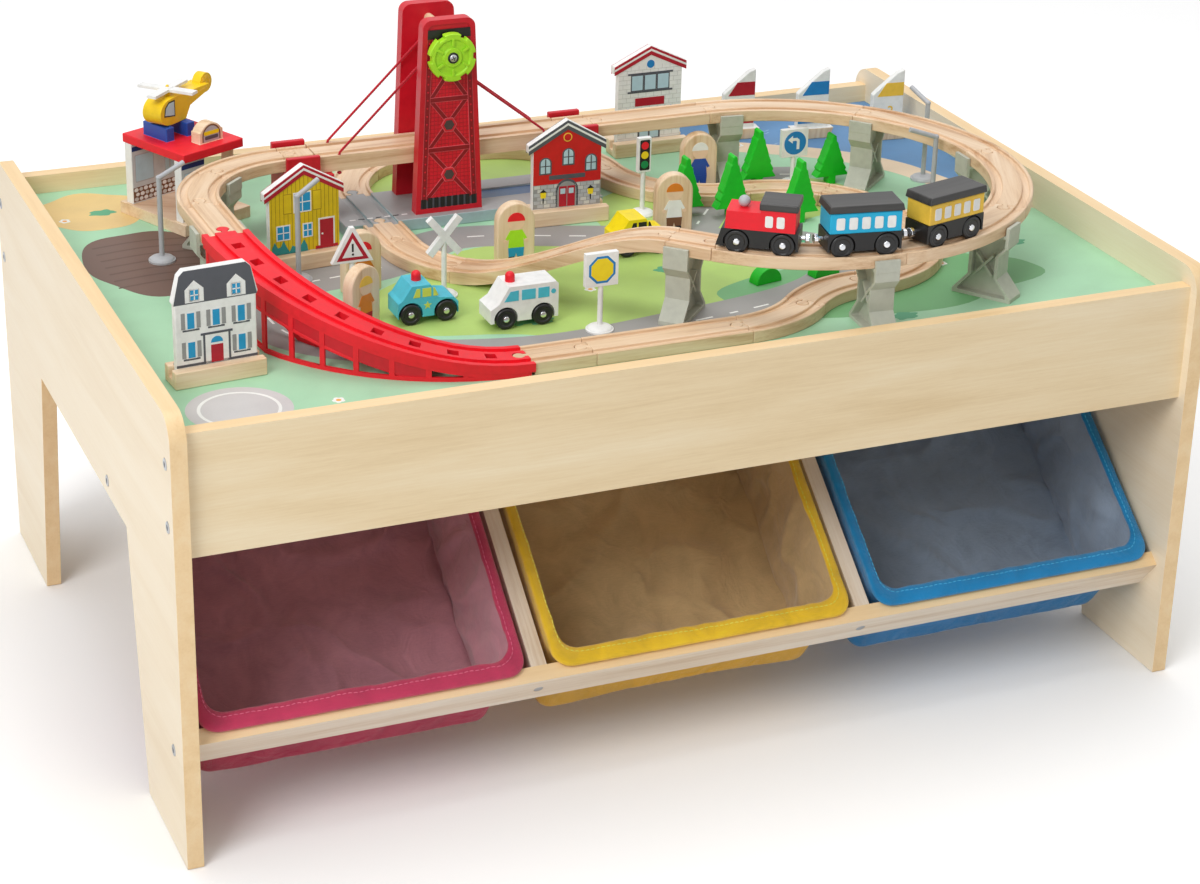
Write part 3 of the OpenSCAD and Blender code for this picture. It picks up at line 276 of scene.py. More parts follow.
def cloth(name, rgb, thread=1.1):
    """Plain weave at a real pitch, in millimetres, with slubs, crumples and a little fuzz; the crumples are
    painted darker in their hollows and lighter on their ridges as shade and highlight.
    """
    s = Shader(name, Roughness=0.86, Sheen_Weight=0.35, Sheen_Roughness=0.5, Specular_IOR_Level=0.25)
    at = s.attribute("weave")
    split = s.node("ShaderNodeSeparateXYZ", Vector=at)
    pitch = 2 * math.pi / (thread * MM)
    warp = s.math("SINE", s.math("MULTIPLY", split.outputs["X"], pitch), 0.0)
    weft = s.math("SINE", s.math("MULTIPLY", split.outputs["Y"], pitch), 0.0)
    weave = s.spread(s.math("MULTIPLY", warp, weft), 0.5, 1.0)
    slub = s.noise(s.stretch(at, (140.0, 900.0, 140.0)), 1.0, 3.0)
    fade = s.noise(s.place(), 9.0, 4.0, 0.4)
    crumple = s.noise(s.place(), 30.0, 6.0, 1.1)
    # Painted shade and highlight: crumple also drives the bump, so its share darkens the hollows and lightens
    # the ridges. Fade and slub are the cloth's own tone.
    value = s.mix((fade, 0.34), (slub, 0.16), (weave, 0.18), (crumple, 0.32))
    s.tint(value, rgb, ((0.36, 0.7), (0.54, 1), (0.74, 1.25)))
    s.link(s.spread(slub, 0.78, 0.95), "Roughness")
    s.bump(s.math("ADD", s.math("MULTIPLY", weave, 0.08), crumple), 0.7, 0.005)
    return s.mat


def metal(name, rgb, rough):
    """Plated steel: fine turning marks and a little tarnish."""
    s = Shader(name, Roughness=rough, Metallic=1.0)
    at = s.place()
    turned = s.noise(s.stretch(at, (900.0, 900.0, 90.0)), 1.0, 2.0)
    tarnish = s.noise(at, 60.0, 4.0)
    s.tint(tarnish, rgb, ((0.3, 0.72), (0.6, 1)))
    s.link(s.spread(turned, rough - 0.06, rough + 0.14), "Roughness")
    s.bump(turned, 0.04, 0.0002)
    return s.mat


PANEL = wood("panel_maple", (237, 217, 184), (244, 227, 198), (248, 234, 209), 0.44, 26.0, 0.8)
MAPLE = wood("maple", (226, 199, 154), (238, 215, 174), (245, 227, 192), 0.46, 30.0, 0.85)
MAPLE_EDGE = wood("maple_edge", (233, 198, 146), (243, 211, 162), (247, 221, 178), 0.48, 60.0, 0.7)
PLY = wood("ply", (214, 190, 160), (233, 216, 194), (243, 231, 214), 0.5, 44.0)
BEECH = wood("beech", (198, 156, 116), (228, 196, 160), (240, 214, 184), 0.44, 60.0)
LIGHT_BEECH = wood("light_beech", (214, 176, 134), (236, 208, 174), (245, 224, 196), 0.46, 55.0)
PINE = wood("pine", (202, 164, 116), (226, 194, 148), (238, 212, 170), 0.55, 44.0)
BLACK_WOOD = wood("black_wood", (22, 21, 21), (40, 39, 38), (62, 60, 58), 0.42, 60.0)
STEEL = metal("steel", (188, 190, 194), 0.32)
CHROME = metal("chrome", (226, 228, 232), 0.16)

SHADES = {
    "red": (236, 24, 42), "tower_red": (206, 18, 40), "deep_red": (142, 6, 26), "crimson": (178, 20, 44),
    "lattice_red": (218, 22, 46), "lattice_line": (180, 10, 34), "lattice_edge": (232, 92, 104),
    "iron": (78, 62, 62), "black": (26, 25, 25), "tyre": (30, 30, 31), "slate": (84, 86, 94),
    "stone": (150, 150, 150), "grey": (182, 184, 188), "mortar": (206, 206, 202), "white": (240, 240, 238),
    "pier": (190, 192, 178), "base_top": (164, 164, 164), "base_side": (160, 182, 186),
    "wall_grey": (206, 210, 212), "river": (92, 124, 166), "sky": (22, 176, 220), "cyan": (78, 194, 216),
    "glass": (30, 152, 204), "pale_glass": (186, 214, 226), "sign_blue": (24, 128, 196),
    "blue": (34, 78, 168), "navy": (26, 48, 116), "teal": (42, 146, 150), "green": (16, 196, 34),
    "lamp_green": (20, 146, 80), "lime": (172, 232, 44), "lime_glass": (206, 222, 92),
    "gold": (246, 200, 70), "taxi": (248, 222, 17), "helicopter": (244, 204, 22),
    "lamp_yellow": (248, 218, 30), "house_yellow": (226, 196, 24), "house_line": (176, 144, 16),
    "house_red": (206, 22, 28), "skin": (240, 206, 176), "brown": (120, 78, 50), "orange": (226, 130, 40),
}
ROUGHNESS = {"red": 0.5, "tyre": 0.32, "pier": 0.52, "stone": 0.6}
PLAIN_ROUGHNESS = 0.42
PAINTS = {}


def shade(mat):
    """The paint of a name. A material is passed on as it is."""
    if not isinstance(mat, str):
        return mat
    if mat not in PAINTS:
        PAINTS[mat] = paint("paint_" + mat, SHADES[mat], ROUGHNESS.get(mat, PLAIN_ROUGHNESS))
    return PAINTS[mat]


# Mesh tools

GRAIN_SPREAD = 20
WELD = 1e-6
RELIEF_SINK = 0.05
RELIEF_STEP = 0.12


def connected(bm):
    """The vertices of each separate solid, in the same order at every run."""
    left = set(bm.verts)
    groups = []
    for start in bm.verts:
        if start not in left:
            continue
        left.discard(start)
        todo = [start]
        group = []
        while todo:
            vert = todo.pop()
            group.append(vert)
            for edge in vert.link_edges:
                other = edge.other_vert(vert)
                if other in left:
                    left.discard(other)
                    todo.append(other)
        groups.append(group)

    def middle(group):
        return tuple(round(c, 5) for c in sum((v.co for v in group), Vector()) / len(group))

    return sorted(groups, key=middle)


def lay_grain(bm, axis=None):
    """Gives each solid its own grain, along its length or a given axis."""
    layer = bm.verts.layers.float_vector.new("grain")
    for group in connected(bm):
        points = np.array([v.co for v in group])
        centre = points.mean(0)
        if axis is None:
            along = np.linalg.svd(points - centre, full_matrices=False)[2][0]
        else:
            along = np.array(axis, float)
        guide = np.array((0, 0, 1.0)) if abs(along[2]) < 0.8 else np.array((0, 1.0, 0))
        across = np.cross(guide, along)
        across /= np.linalg.norm(across)
        through = np.cross(along, across)
        offset = np.array([rng.uniform(0, GRAIN_SPREAD) for _ in range(3)])
        for vert, point in zip(group, points):
            flat = point - centre
            vert[layer] = Vector((flat @ along, flat @ across, flat @ through)) + Vector(offset)


def settle(obj, bevel, segments=2, limit=32):
    """Rounds the edges and smooths the shading."""
    if bevel:
        mod = obj.modifiers.new("edges", "BEVEL")
        mod.width = bevel * MM
        mod.segments = segments
        mod.limit_method = "ANGLE"
        mod.angle_limit = math.radians(limit)
    obj.data.polygons.foreach_set("use_smooth", [True] * len(obj.data.polygons))
    obj.data.set_sharp_from_angle(angle=math.radians(limit))
    mod = obj.modifiers.new("normals", "WEIGHTED_NORMAL")
    mod.keep_sharp = True
    mod.weight = 80


def new_object(name, bm, mats):
    """An object of a finished mesh."""
    mesh = bpy.data.meshes.new(name)
    bm.to_mesh(mesh)
    bm.free()
    for mat in mats:
        mesh.materials.append(mat)
    obj = bpy.data.objects.new(name, mesh)
    bpy.context.scene.collection.objects.link(obj)
    return obj


def dress(node, mats, bevel, rule=None, axis=None, segments=2, face_rule=None, reshape=None):
    """A finer copy of a CAD node, with its own materials.

    rule gives a face's material from its middle and normal, and face_rule from the face itself.
    reshape changes the copy before it is coloured.
    """
    bm = bmesh.new()
    bm.from_mesh(nodes[node].data)
    bmesh.ops.remove_doubles(bm, verts=bm.verts, dist=WELD)
    bmesh.ops.dissolve_limit(bm, angle_limit=math.radians(0.6), verts=bm.verts, edges=bm.edges)
    if reshape:
        reshape(bm)
    bmesh.ops.recalc_face_normals(bm, faces=bm.faces)
    for face in bm.faces:
        if face_rule:
            face.material_index = face_rule(face)
        elif rule:
            face.material_index = rule(face.calc_center_median() / MM, face.normal)
    lay_grain(bm, axis)
    obj = new_object(node + "_finish", bm, [shade(mat) for mat in mats])
    settle(obj, bevel, segments)
    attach(obj, body_of(nodes[node])[0])
    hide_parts(node)


def slot_of(node):
    """The record's material slot of a CAD node."""
    for entry in frame["record"]["materials"]:
        if node in entry.get("nodes", []):
            return entry["slot"]
    return frame["record"]["materials"][0]["slot"]


def stand(x, y, z, turn=0.0):
    """A place in millimetres, turned about Z by degrees."""
    return Matrix.Translation((x, y, z)) @ Matrix.Rotation(math.radians(turn), 4, "Z")


class Kit:
    """Collects shaped solids, in millimetres, into one object."""

    def __init__(self):
        self.bm = bmesh.new()
        self.mats = []

    def skin(self, rows, mat, caps=True):
        """Closed rings of points, joined one to the next."""
        mat = shade(mat)
        if mat not in self.mats:
            self.mats.append(mat)
        index = self.mats.index(mat)
        made = [[self.bm.verts.new(p) for p in row] for row in rows]
        count = len(made[0])
        faces = []
        for low, high in zip(made, made[1:]):
            for i in range(count):
                k = (i + 1) % count
                faces.append(self.bm.faces.new((low[i], low[k], high[k], high[i])))
        if caps:
            faces.append(self.bm.faces.new(reversed(made[0])))
            faces.append(self.bm.faces.new(made[-1]))
        for face in faces:
            face.material_index = index
        bmesh.ops.recalc_face_normals(self.bm, faces=faces)

    def upright(self, place, outline, y0, y1, mat):
        """An outline in X and Z, from y0 to y1."""
        self.skin([[place @ Vector((x, y, z)) for x, z in outline] for y in (y0, y1)], mat)

    def relief(self, place, outline, front, mat, layer, first=RELIEF_STEP):
        """A painted shape on an upright face, a step further out with each layer."""
        self.upright(place, outline, front + RELIEF_SINK, front - first - RELIEF_STEP * layer, mat)

    def both(self, place, outline, y0, y1, mat):
        """An outline on the front of a piece and, the other way round, on its back."""
        for turn, flip in ((0, 1), (180, -1)):
            side = place @ Matrix.Rotation(math.radians(turn), 4, "Z")
            self.upright(side, [(flip * x, z) for x, z in outline], y0, y1, mat)

    def flat(self, place, outline, z0, z1, mat):
        """An outline in X and Y, from z0 to z1."""
        self.skin([[place @ Vector((x, y, z)) for x, y in outline] for z in (z0, z1)], mat)

    def lathe(self, place, profile, mat, steps=32):
        """A profile of radius and height, turned about Z."""
        rows = []
        for radius, height in profile:
            turn = [2 * math.pi * k / steps for k in range(steps)]
            r = max(radius, 0.02)
            rows.append([place @ Vector((r * math.cos(a), r * math.sin(a), height)) for a in turn])
        self.skin(rows, mat)

    def tube(self, points, radius, mat, steps=10, strands=0, pitch=8.0):
        """A round bar along a line of points, or a cord of twisted strands."""
        rows = []
        travel = 0.0
        side = None
        for i, point in enumerate(points):
            ahead = points[min(i + 1, len(points) - 1)]
            behind = points[max(i - 1, 0)]
            along = (ahead - behind).normalized()
            if side is None:
                side = along.orthogonal().normalized()
            side = (side - along * side.dot(along)).normalized()
            other = along.cross(side)
            if i:
                travel += (point - points[i - 1]).length
            row = []
            for k in range(steps):
                a = 2 * math.pi * k / steps
                r = radius
                if strands:
                    r *= 0.9 + 0.1 * math.cos(strands * (a - 2 * math.pi * travel / pitch))
                row.append(point + (side * math.cos(a) + other * math.sin(a)) * r)
            rows.append(row)
        self.skin(rows, mat)

    def put(self, name, body, bevel=0.3, axis=None, slot=None):
        """Makes the object, in metres, on its body."""
        bmesh.ops.scale(self.bm, vec=(MM, MM, MM), verts=self.bm.verts)
        lay_grain(self.bm, axis)
        obj = new_object(name, self.bm, self.mats)
        settle(obj, bevel)
        if body:
            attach(obj, body)
        return obj


def rect(x0, z0, x1, z1):
    return [(x0, z0), (x1, z0), (x1, z1), (x0, z1)]


def soft_rect(x0, z0, x1, z1, r):
    """A rectangle with round corners."""
    out = []
    corners = ((x1 - r, z0 + r, 270), (x1 - r, z1 - r, 0), (x0 + r, z1 - r, 90), (x0 + r, z0 + r, 180))
    for cx, cz, start in corners:
        for a in (start, start + 30, start + 60, start + 90):
            out.append((cx + r * math.cos(math.radians(a)), cz + r * math.sin(math.radians(a))))
    return out


def disc(x, z, r, steps=28, squash=1.0):
    turn = [2 * math.pi * k / steps for k in range(steps)]
    return [(x + r * math.cos(a), z + r * squash * math.sin(a)) for a in turn]


def half_round(x, z, r, steps):
    """The upper half of a circle."""
    turn = [math.pi * k / steps for k in range(steps + 1)]
    return [(x + r * math.cos(a), z + r * math.sin(a)) for a in turn]


def bar(x0, z0, x1, z1, w):
    """A straight strip of width w from one point to the other."""
    dx, dz = x1 - x0, z1 - z0
    size = math.hypot(dx, dz)
    nx, nz = -dz / size * w / 2, dx / size * w / 2
    return [(x0 - nx, z0 - nz), (x1 - nx, z1 - nz), (x1 + nx, z1 + nz), (x0 + nx, z0 + nz)]


# Cords of the lift bridge

CORD_D = 2.6
CORD_SIDE = 19.2
CORD_REACH = 108
CORD_GAP = 0.3
CORD_LIP = 5.4
AXLE_R = 6
DECK_T = 16
KNOT_R = 2.5
KNOT_Z = UPPER_TOP - DECK_T - KNOT_R - CORD_GAP
STRAIGHT_STEPS = 150


def cord_path(end, y):
    """From the axle's side straight to the deck's hole, then round its lip and down to the knot."""
    wrap = AXLE_R + CORD_D / 2 + CORD_GAP
    to = Vector((end * CORD_REACH, UPPER_TOP + CORD_D / 2 + CORD_GAP - AXLE))
    touch = math.atan2(to.y, to.x) - math.acos(wrap / to.length)
    start = Vector((wrap * math.cos(touch), wrap * math.sin(touch)))
    along = (to - start).normalized()
    turn = math.acos(-along.y)
    first = to - along * CORD_LIP * math.tan(turn / 2)
    inward = Vector((-along.y * end, along.x * end))
    inward = inward if inward.y < 0 else -inward
    centre = first + inward * CORD_LIP
    line = [start.lerp(first, k / STRAIGHT_STEPS) for k in range(STRAIGHT_STEPS)]
    for k in range(9):
        a = turn * k / 8
        line.append(centre + (along * math.sin(a) - inward * math.cos(a)) * CORD_LIP)
    last = line[-1]
    drop = last.y - KNOT_Z + AXLE
    line += [Vector((last.x, last.y - drop * k / 20)) for k in range(1, 21)]
    return [Vector((TOWER[0] + p.x, y, AXLE + p.y)) for p in line]


def knot_loop(middle):
    """A closed overhand knot of cord about a point."""
    loop = []
    for k in range(60):
        t = 2 * math.pi * k / 60
        curl = (math.sin(t) + 2 * math.sin(2 * t), math.cos(t) - 2 * math.cos(2 * t), -math.sin(3 * t))
        loop.append(middle + Vector(curl) * 0.52)
    return loop + loop[:1]


def make_cord(side, end, place, y, mat):
    path = cord_path(end, y)
    kit = Kit()
    kit.tube(path, CORD_D / 2 * 1.04, mat, 15, 3)
    name = f"{side}_{place}_cord"
    obj = kit.put(name, None, bevel=0, slot="cord")
    knot = Kit()
    knot.tube(knot_loop(path[-1]), 0.95, mat, 10)
    knot_obj = knot.put(name + "_knot", f"{side}_deck", bevel=0, slot="cord")
    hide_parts(f"{side}_cords")
    points = [p * MM for p in path]
    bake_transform(obj, "table", f"{side}_deck", points[0], points[STRAIGHT_STEPS])


def make_cords():
    red = cloth("cord_red", (196, 26, 46), 0.7)
    for side, end in (("left", -1), ("right", 1)):
        for place, way in (("front", -1), ("back", 1)):
            make_cord(side, end, place, TOWER[1] + way * CORD_SIDE, red)


make_cords()


# Table frame


def edge_rule(axis):
    """Board faces along an axis take the first material, the edges the second."""
    return lambda at, normal: 0 if abs(normal[axis]) > 0.7 else 1


def make_frame():
    for node in ("left_end_panel", "right_end_panel"):
        dress(node, [PANEL, MAPLE_EDGE], 1.6, edge_rule(0), (0, 1, 0), 3)
    for node in ("front_rail", "back_rail"):
        dress(node, [MAPLE, MAPLE_EDGE], 1.4, edge_rule(1), (1, 0, 0), 3)
    dress("board_bearers", [PINE], 0.8)
    rack_rule = lambda at, normal: 0 if abs(normal[1]) > abs(normal[2]) else 1
    for node in ("bin_front_rail", "bin_back_rail"):
        dress(node, [PLY, MAPLE_EDGE], 1.4, rack_rule, (1, 0, 0), 3)
    dress("bin_dividers", [PLY], 1.2)
    bolts = Kit()
    for x, y, z in box_middles("panel_bolts"):
        bolt_head(bolts, math.copysign(1, x), y, z)
    bolts.put("panel_bolt_heads", "table", 0, slot="steel")
    dress("panel_bolts", [STEEL], 0.4)
    dress("rack_screws", [STEEL], 0.3)


def box_middles(node):
    """The middle of each solid of a CAD node, in millimetres."""
    bm = bmesh.new()
    bm.from_mesh(nodes[node].data)
    bmesh.ops.remove_doubles(bm, verts=bm.verts, dist=WELD)
    out = []
    for group in connected(bm):
        low = [min(v.co[i] for v in group) for i in range(3)]
        high = [max(v.co[i] for v in group) for i in range(3)]
        out.append([(a + b) / 2 / MM for a, b in zip(low, high)])
    bm.free()
    return out


def bolt_head(kit, side, y, z):
    """A domed head rim round a hexagon socket, just proud of the panel. The shallow socket is painted black
    as shade for its depth.
    """
    turn = Matrix.Rotation(math.radians(90 * side), 4, "Y")
    place = Matrix.Translation((side * HALF_LENGTH, y, z)) @ turn
    rows = []
    rim = ((5.4, -0.4, False), (5.4, 0.1, False), (4.9, 0.55, False))
    socket = ((3.2, 0.7, True), (2.9, 0.5, True), (2.8, 0.05, True))
    for radius, height, corners in rim + socket:
        ring = []
        for k in range(24):
            a = 2 * math.pi * k / 24
            flat = 1.0
            if corners:
                flat = math.cos(math.pi / 6) / math.cos((a % (math.pi / 3)) - math.pi / 6)
            ring.append(place @ Vector((radius * flat * math.cos(a), radius * flat * math.sin(a), height)))
        rows.append(ring)
    kit.skin(rows[:5], STEEL, caps=False)
    # Painted shade: the socket's floor and lower walls are black in place of the shade in a deep socket.
    kit.skin(rows[4:], "black")


make_frame()


# Fabric bins

RACK_TILT = math.radians(38)
RACK_AT = (-332, 114)
# Each bin's outside, lining and binding
BIN_COLOURS = {
    "red_bin": ((184, 38, 76), (204, 146, 158), (206, 60, 98)),
    "yellow_bin": ((228, 174, 44), (212, 182, 134), (248, 202, 38)),
    "blue_bin": ((10, 122, 184), (152, 168, 188), (16, 138, 200)),
}
BIN_SLUMP = {"red_bin": 7, "yellow_bin": 16, "blue_bin": 6}
BIN_PITCH = 328.33
BIN_MIDDLE = 140
BIN_SEAT = 0.3
BAG_X = 151.17
BAG_S = 119.5
HEM_S = 133.0
BAG_DEPTH = 108.0
BAG_DRAW = 9.0
BAG_LEAN = 12.4
BAG_CORNER = 16.0
FLOOR_CORNER = 14
FLOOR_OUT = (0.02, 0.2, 0.4, 0.6, 0.78, 0.92)
FLOOR_IN = [0.97 - 0.065 * step for step in range(15)]


def rack_point(x, s, n):
    """A point of the tilted rack: along it, up its slope and out from it."""
    c, k = math.cos(RACK_TILT), math.sin(RACK_TILT)
    return Vector((x, RACK_AT[0] + s * c - n * k, RACK_AT[1] + s * k + n * c))


def bag_ring(half_x, half_s, r, count=200):
    """Points of a rounded rectangle at even steps, with the way out at each."""
    r = min(r, half_x - 0.5, half_s - 0.5)
    straight_x, straight_s = 2 * (half_x - r), 2 * (half_s - r)
    arc = math.pi * r / 2
    total = 2 * (straight_x + straight_s) + 4 * arc
    out = []
    for k in range(count):
        d = total * k / count
        for leg, (px, ps, dx, ds) in enumerate((
            (-half_x + r, -half_s, 1, 0), (half_x, -half_s + r, 0, 1),
            (half_x - r, half_s, -1, 0), (-half_x, half_s - r, 0, -1),
        )):
            run = straight_x if leg % 2 == 0 else straight_s
            if d <= run:
                out.append((px + dx * d, ps + ds * d, ds, -dx))
                break
            d -= run
            if d <= arc:
                a = d / r
                cx, cs = px + dx * run - ds * r, ps + ds * run + dx * r
                ox, os = ds * math.cos(a) + dx * math.sin(a), -dx * math.cos(a) + ds * math.sin(a)
                out.append((cx + ox * r, cs + os * r, ox, os))
                break
            d -= arc
    return out


def ridge(x, s, n, seed):
    """Sharp folds: near 1 along a few wandering lines, 0 between them."""
    value = noise.noise(Vector((x * 0.02, s * 0.02, n * 0.014 + seed)))
    return max(1 - abs(value) * 4, 0) ** 2


def crease(x, s, n, seed):
    """How far the outer cloth is drawn in: long soft hangs and a few folds."""
    soft = 0.5 + 0.5 * noise.noise(Vector((x * 0.016, s * 0.016, n * 0.02 + seed)))
    return 1.6 * soft + 1.2 * ridge(x * 1.6, s * 1.6, n, seed + 9)


def slack(x, s, n, seed):
    """How far the stiff lining stands off the wall: broad billows, sharp folds and fine crinkles."""
    billow = 0.5 + 0.5 * noise.noise(Vector((x * 0.013, s * 0.013, n * 0.012 + seed + 31)))
    crinkle = noise.noise(Vector((x * 0.07, s * 0.07, n * 0.05 + seed + 77)))
    hold = math.sin(math.pi * min(max((-n - 4) / (BAG_DEPTH - 4), 0), 1)) ** 0.6
    return hold * (16 * billow + 6.5 * ridge(x, s, n, seed + 40) + 1.6 * crinkle)


def rumple(x, s, seed):
    """How far the lining's floor stands up in soft swells and folds."""
    swell = 0.5 + 0.5 * noise.noise(Vector((x * 0.012, s * 0.012, seed + 90)))
    return 6 * swell + 7 * ridge(x * 0.7, s * 0.7, 0, seed + 95)


def slump(x, s, n, seed, most):
    """How far the lower edge is drawn up between the bag's hanging corners."""
    low = min(max((-n - 50) / 54, 0), 1) ** 2
    middle = max(1 - (x / BAG_X) ** 4, 1 - (s / BAG_S) ** 4, 0)
    return most * low * middle * (0.5 + 0.5 * noise.noise(Vector((x * 0.014, s * 0.014, seed + 60))))


def bag_rows(seed, most):
    """Rings from the middle of the floor, up the outside, over the hem and down inside to the floor again."""
    rows = []

    def ring(half_x, half_s, r, n, fold=0.0, loose=0.0, lift=0.0):
        lean = BAG_LEAN * min(n, 0) / BAG_DEPTH
        row = []
        for x, s, ox, os in bag_ring(half_x, half_s, r):
            out = -fold * crease(x, s, n, seed) - loose * slack(x, s, n, seed)
            rise = slump(x, s, n, seed, most) + lift * rumple(x, s, seed)
            row.append((x + ox * out, s + os * out + lean, n + rise))
        rows.append(row)

    def wall_x(n):
        return BAG_X - 0.4 + BAG_DRAW * n / BAG_DEPTH

    floor_x, floor_s = wall_x(-BAG_DEPTH) - 4, BAG_S - 5
    for part in FLOOR_OUT:
        ring(floor_x * part, floor_s * part, FLOOR_CORNER * part, -BAG_DEPTH + 0.5)
    for inset, n in ((2.6, -107), (0.8, -104.5), (0.2, -100)):
        ring(wall_x(n) - inset, BAG_S - 0.3 - inset, BAG_CORNER, n, 0.6)
    for step in range(11):
        n = -94 + step * 8.8
        ring(wall_x(n), BAG_S - 0.3, BAG_CORNER, n, 1.0 if n < -16 else 0.3)
    outside = len(rows)
    for inset, half_s, n, fold in (
        (0.8, BAG_S + 0.4, -1.2, 0.2), (0.6, BAG_S + 6, 0.35, 0.2), (0.3, HEM_S - 1.6, 0.4, 0.2),
        (0, HEM_S, 1.6, 0.2), (0, HEM_S, 4.4, 0.2), (0.8, HEM_S - 1.4, 6.4, 0.3),
        (3.6, HEM_S - 5, 7.2, 0.5), (8, BAG_S + 3, 6.9, 0.9), (10, BAG_S - 1.4, 5.4, 1.2),
        (9.6, BAG_S - 3.2, 2.4, 1.2), (6.2, BAG_S - 4, -1.2, 0.8),
    ):
        ring(BAG_X - inset, half_s, BAG_CORNER + 2, n, fold)
    hem = len(rows)
    for step in range(20):
        n = -5 - step * 5
        ring(wall_x(n) - 3.4, BAG_S - 3.7, BAG_CORNER, n, 0.3, 1.0)
    for part in FLOOR_IN:
        ring(floor_x * part, floor_s * part, FLOOR_CORNER * part, -BAG_DEPTH + 3.6, lift=1.0)
    return rows, outside, hem


def bag_verts(bm, rows, x_mid):
    """The bag's rings of vertices, each with its place in the weave."""
    layer = bm.verts.layers.float_vector.new("weave")
    made = []
    climb = 0.0
    for index, row in enumerate(rows):
        if index:
            climb += (Vector(row[0]) - Vector(rows[index - 1][0])).length
        floor = index < len(FLOOR_OUT) or index >= len(rows) - len(FLOOR_IN)
        ring = []
        round_way = 0.0
        for k, (x, s, n) in enumerate(row):
            vert = bm.verts.new(rack_point(x_mid + x, BIN_MIDDLE + s, n + BIN_SEAT) * MM)
            if k:
                round_way += (Vector(row[k]) - Vector(row[k - 1])).length
            vert[layer] = Vector((x, s, 0) if floor else (round_way, climb, 0)) * MM
            ring.append(vert)
        made.append(ring)
    return made


def bag_mesh(rows, outside, hem, x_mid):
    """The bag's faces: outside, lining and hem, with a ladder of strips across each floor's middle."""
    bm = bmesh.new()
    made = bag_verts(bm, rows, x_mid)
    count = len(made[0])
    faces = []
    for index, (low, high) in enumerate(zip(made, made[1:])):
        cover = 0 if index < outside - 1 else 2 if index < hem - 1 else 1
        for i in range(count):
            k = (i + 1) % count
            faces.append((bm.faces.new((low[i], low[k], high[k], high[i])), cover))
    for k in range(count // 2 - 1):
        for ring, cover in ((made[0], 0), (made[-1], 1)):
            faces.append((bm.faces.new((ring[k], ring[k + 1], ring[-2 - k], ring[-1 - k])), cover))
    for face, cover in faces:
        face.material_index = cover
        face.smooth = True
    bmesh.ops.recalc_face_normals(bm, faces=bm.faces)
    return bm


def make_bin(node, x_mid, seed):
    outer, inner, binding = BIN_COLOURS[node]
    mats = [cloth(node + "_outside", outer), cloth(node + "_inside", inner)]
    mats.append(cloth(node + "_binding", binding, 0.9))
    rows, outside, hem = bag_rows(seed, BIN_SLUMP[node])
    obj = new_object(node + "_bag", bag_mesh(rows, outside, hem, x_mid), mats)
    mod = obj.modifiers.new("soften", "SUBSURF")
    mod.levels = mod.render_levels = 1
    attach(obj, node)
    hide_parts(node)
    thread = cloth(node + "_thread", [min(c + 70, 250) for c in binding], 0.4)
    stitch_hem(node, x_mid, thread, rows[outside + 7])


def stitch_hem(node, x_mid, thread, row):
    """A row of raised stitches along the top of the hem."""
    kit = Kit()
    for k in range(len(row)):
        a = Vector(row[k])
        b = Vector(row[(k + 1) % len(row)])
        points = []
        for way, lift in ((0.12, 0.0), (0.3, 0.55), (0.55, 0.55), (0.75, 0.0)):
            p = a.lerp(b, way)
            points.append(rack_point(x_mid + p.x, BIN_MIDDLE + p.y, p.z + 0.35 + lift))
        kit.tube(points, 0.34, thread, 5)
    obj = kit.put(node + "_stitches", node, bevel=0)


for bin_index, bin_node in enumerate(("red_bin", "yellow_bin", "blue_bin")):
    make_bin(bin_node, (bin_index - 1) * BIN_PITCH, bin_index * 17.0)


# Railway

RAMP_CENTRE = (-156, -48)
RAMP_RISE = 66
RAMP_HEAD = 40
RAMP_WALLS = (190.6, 230.4)
RAMP_POSTS = [0.03 + 0.8 * k / 9 for k in range(10)]
PANEL_TALL = 13
SHELF_TALL = 3


def ramp_top(t):
    """The height of the ramp's bed at a share of the way down."""
    return BOARD + RAMP_RISE * (1 - t * t * (3 - 2 * t))


def ramp_foot(t):
    """The height of the girder walls' foot at a share of the way down."""
    return BOARD + max(0, RAMP_HEAD - 2 * RAMP_RISE * t)


def ramp_shelf(t):
    """The height of the rail between the closed panels and the open windows under them."""
    return max(ramp_foot(t) + 3.6, ramp_top(t) - PANEL_TALL)


def ramp_strip(kit, r0, r1, ends, low, high, mat, steps=4):
    """A strip of the ramp's wall between two radii, from one share of the way down to another."""
    rows = []
    for k in range(steps + 1):
        t = ends[0] + (ends[1] - ends[0]) * k / steps
        place = stand(*RAMP_CENTRE, 0, 180 + 90 * t)
        corners = ((r0, low(t)), (r1, low(t)), (r1, high(t)), (r0, high(t)))
        rows.append([place @ Vector((r, 0, z)) for r, z in corners])
    kit.skin(rows, mat)


def ramp_panels():
    """Sunk panels in the upper half of the ramp's walls, painted a darker red as shade in place of an upper
    row of windows, and the rail under them.
    """
    panel_top = lambda t: ramp_top(t) + 0.6
    rail_low = lambda t: ramp_shelf(t) - SHELF_TALL / 2
    rail_high = lambda t: ramp_shelf(t) + SHELF_TALL / 2
    kit = Kit()
    for r in RAMP_WALLS:
        for ends in zip(RAMP_POSTS, RAMP_POSTS[1:]):
            if ramp_top(ends[1]) - ramp_shelf(ends[1]) < 3:
                continue
            # Painted shade: the darker tower red stands for the shade inside the upper windows.
            ramp_strip(kit, r + 1, r + 2, ends, ramp_shelf, panel_top, "tower_red")
            if ramp_shelf(ends[1]) - ramp_foot(ends[1]) > 6:
                ramp_strip(kit, r + 0.5, r + 2.5, ends, rail_low, rail_high, "red")
    kit.put("ramp_panels", "table", 0.3, slot=slot_of("red_ramp_track"))


def make_railway():
    for node in ("lower_track", "upper_track"):
        dress(node, [BEECH], 0.9)
    dress("wavy_ramp_track", [BEECH], 0.6, axis=(-0.7071, 0.7071, 0))
    dress("red_ramp_track", ["red"], 0.5)
    ramp_panels()
    dress("track_piers", ["pier"], 0.6)


make_railway()


# Lift bridge

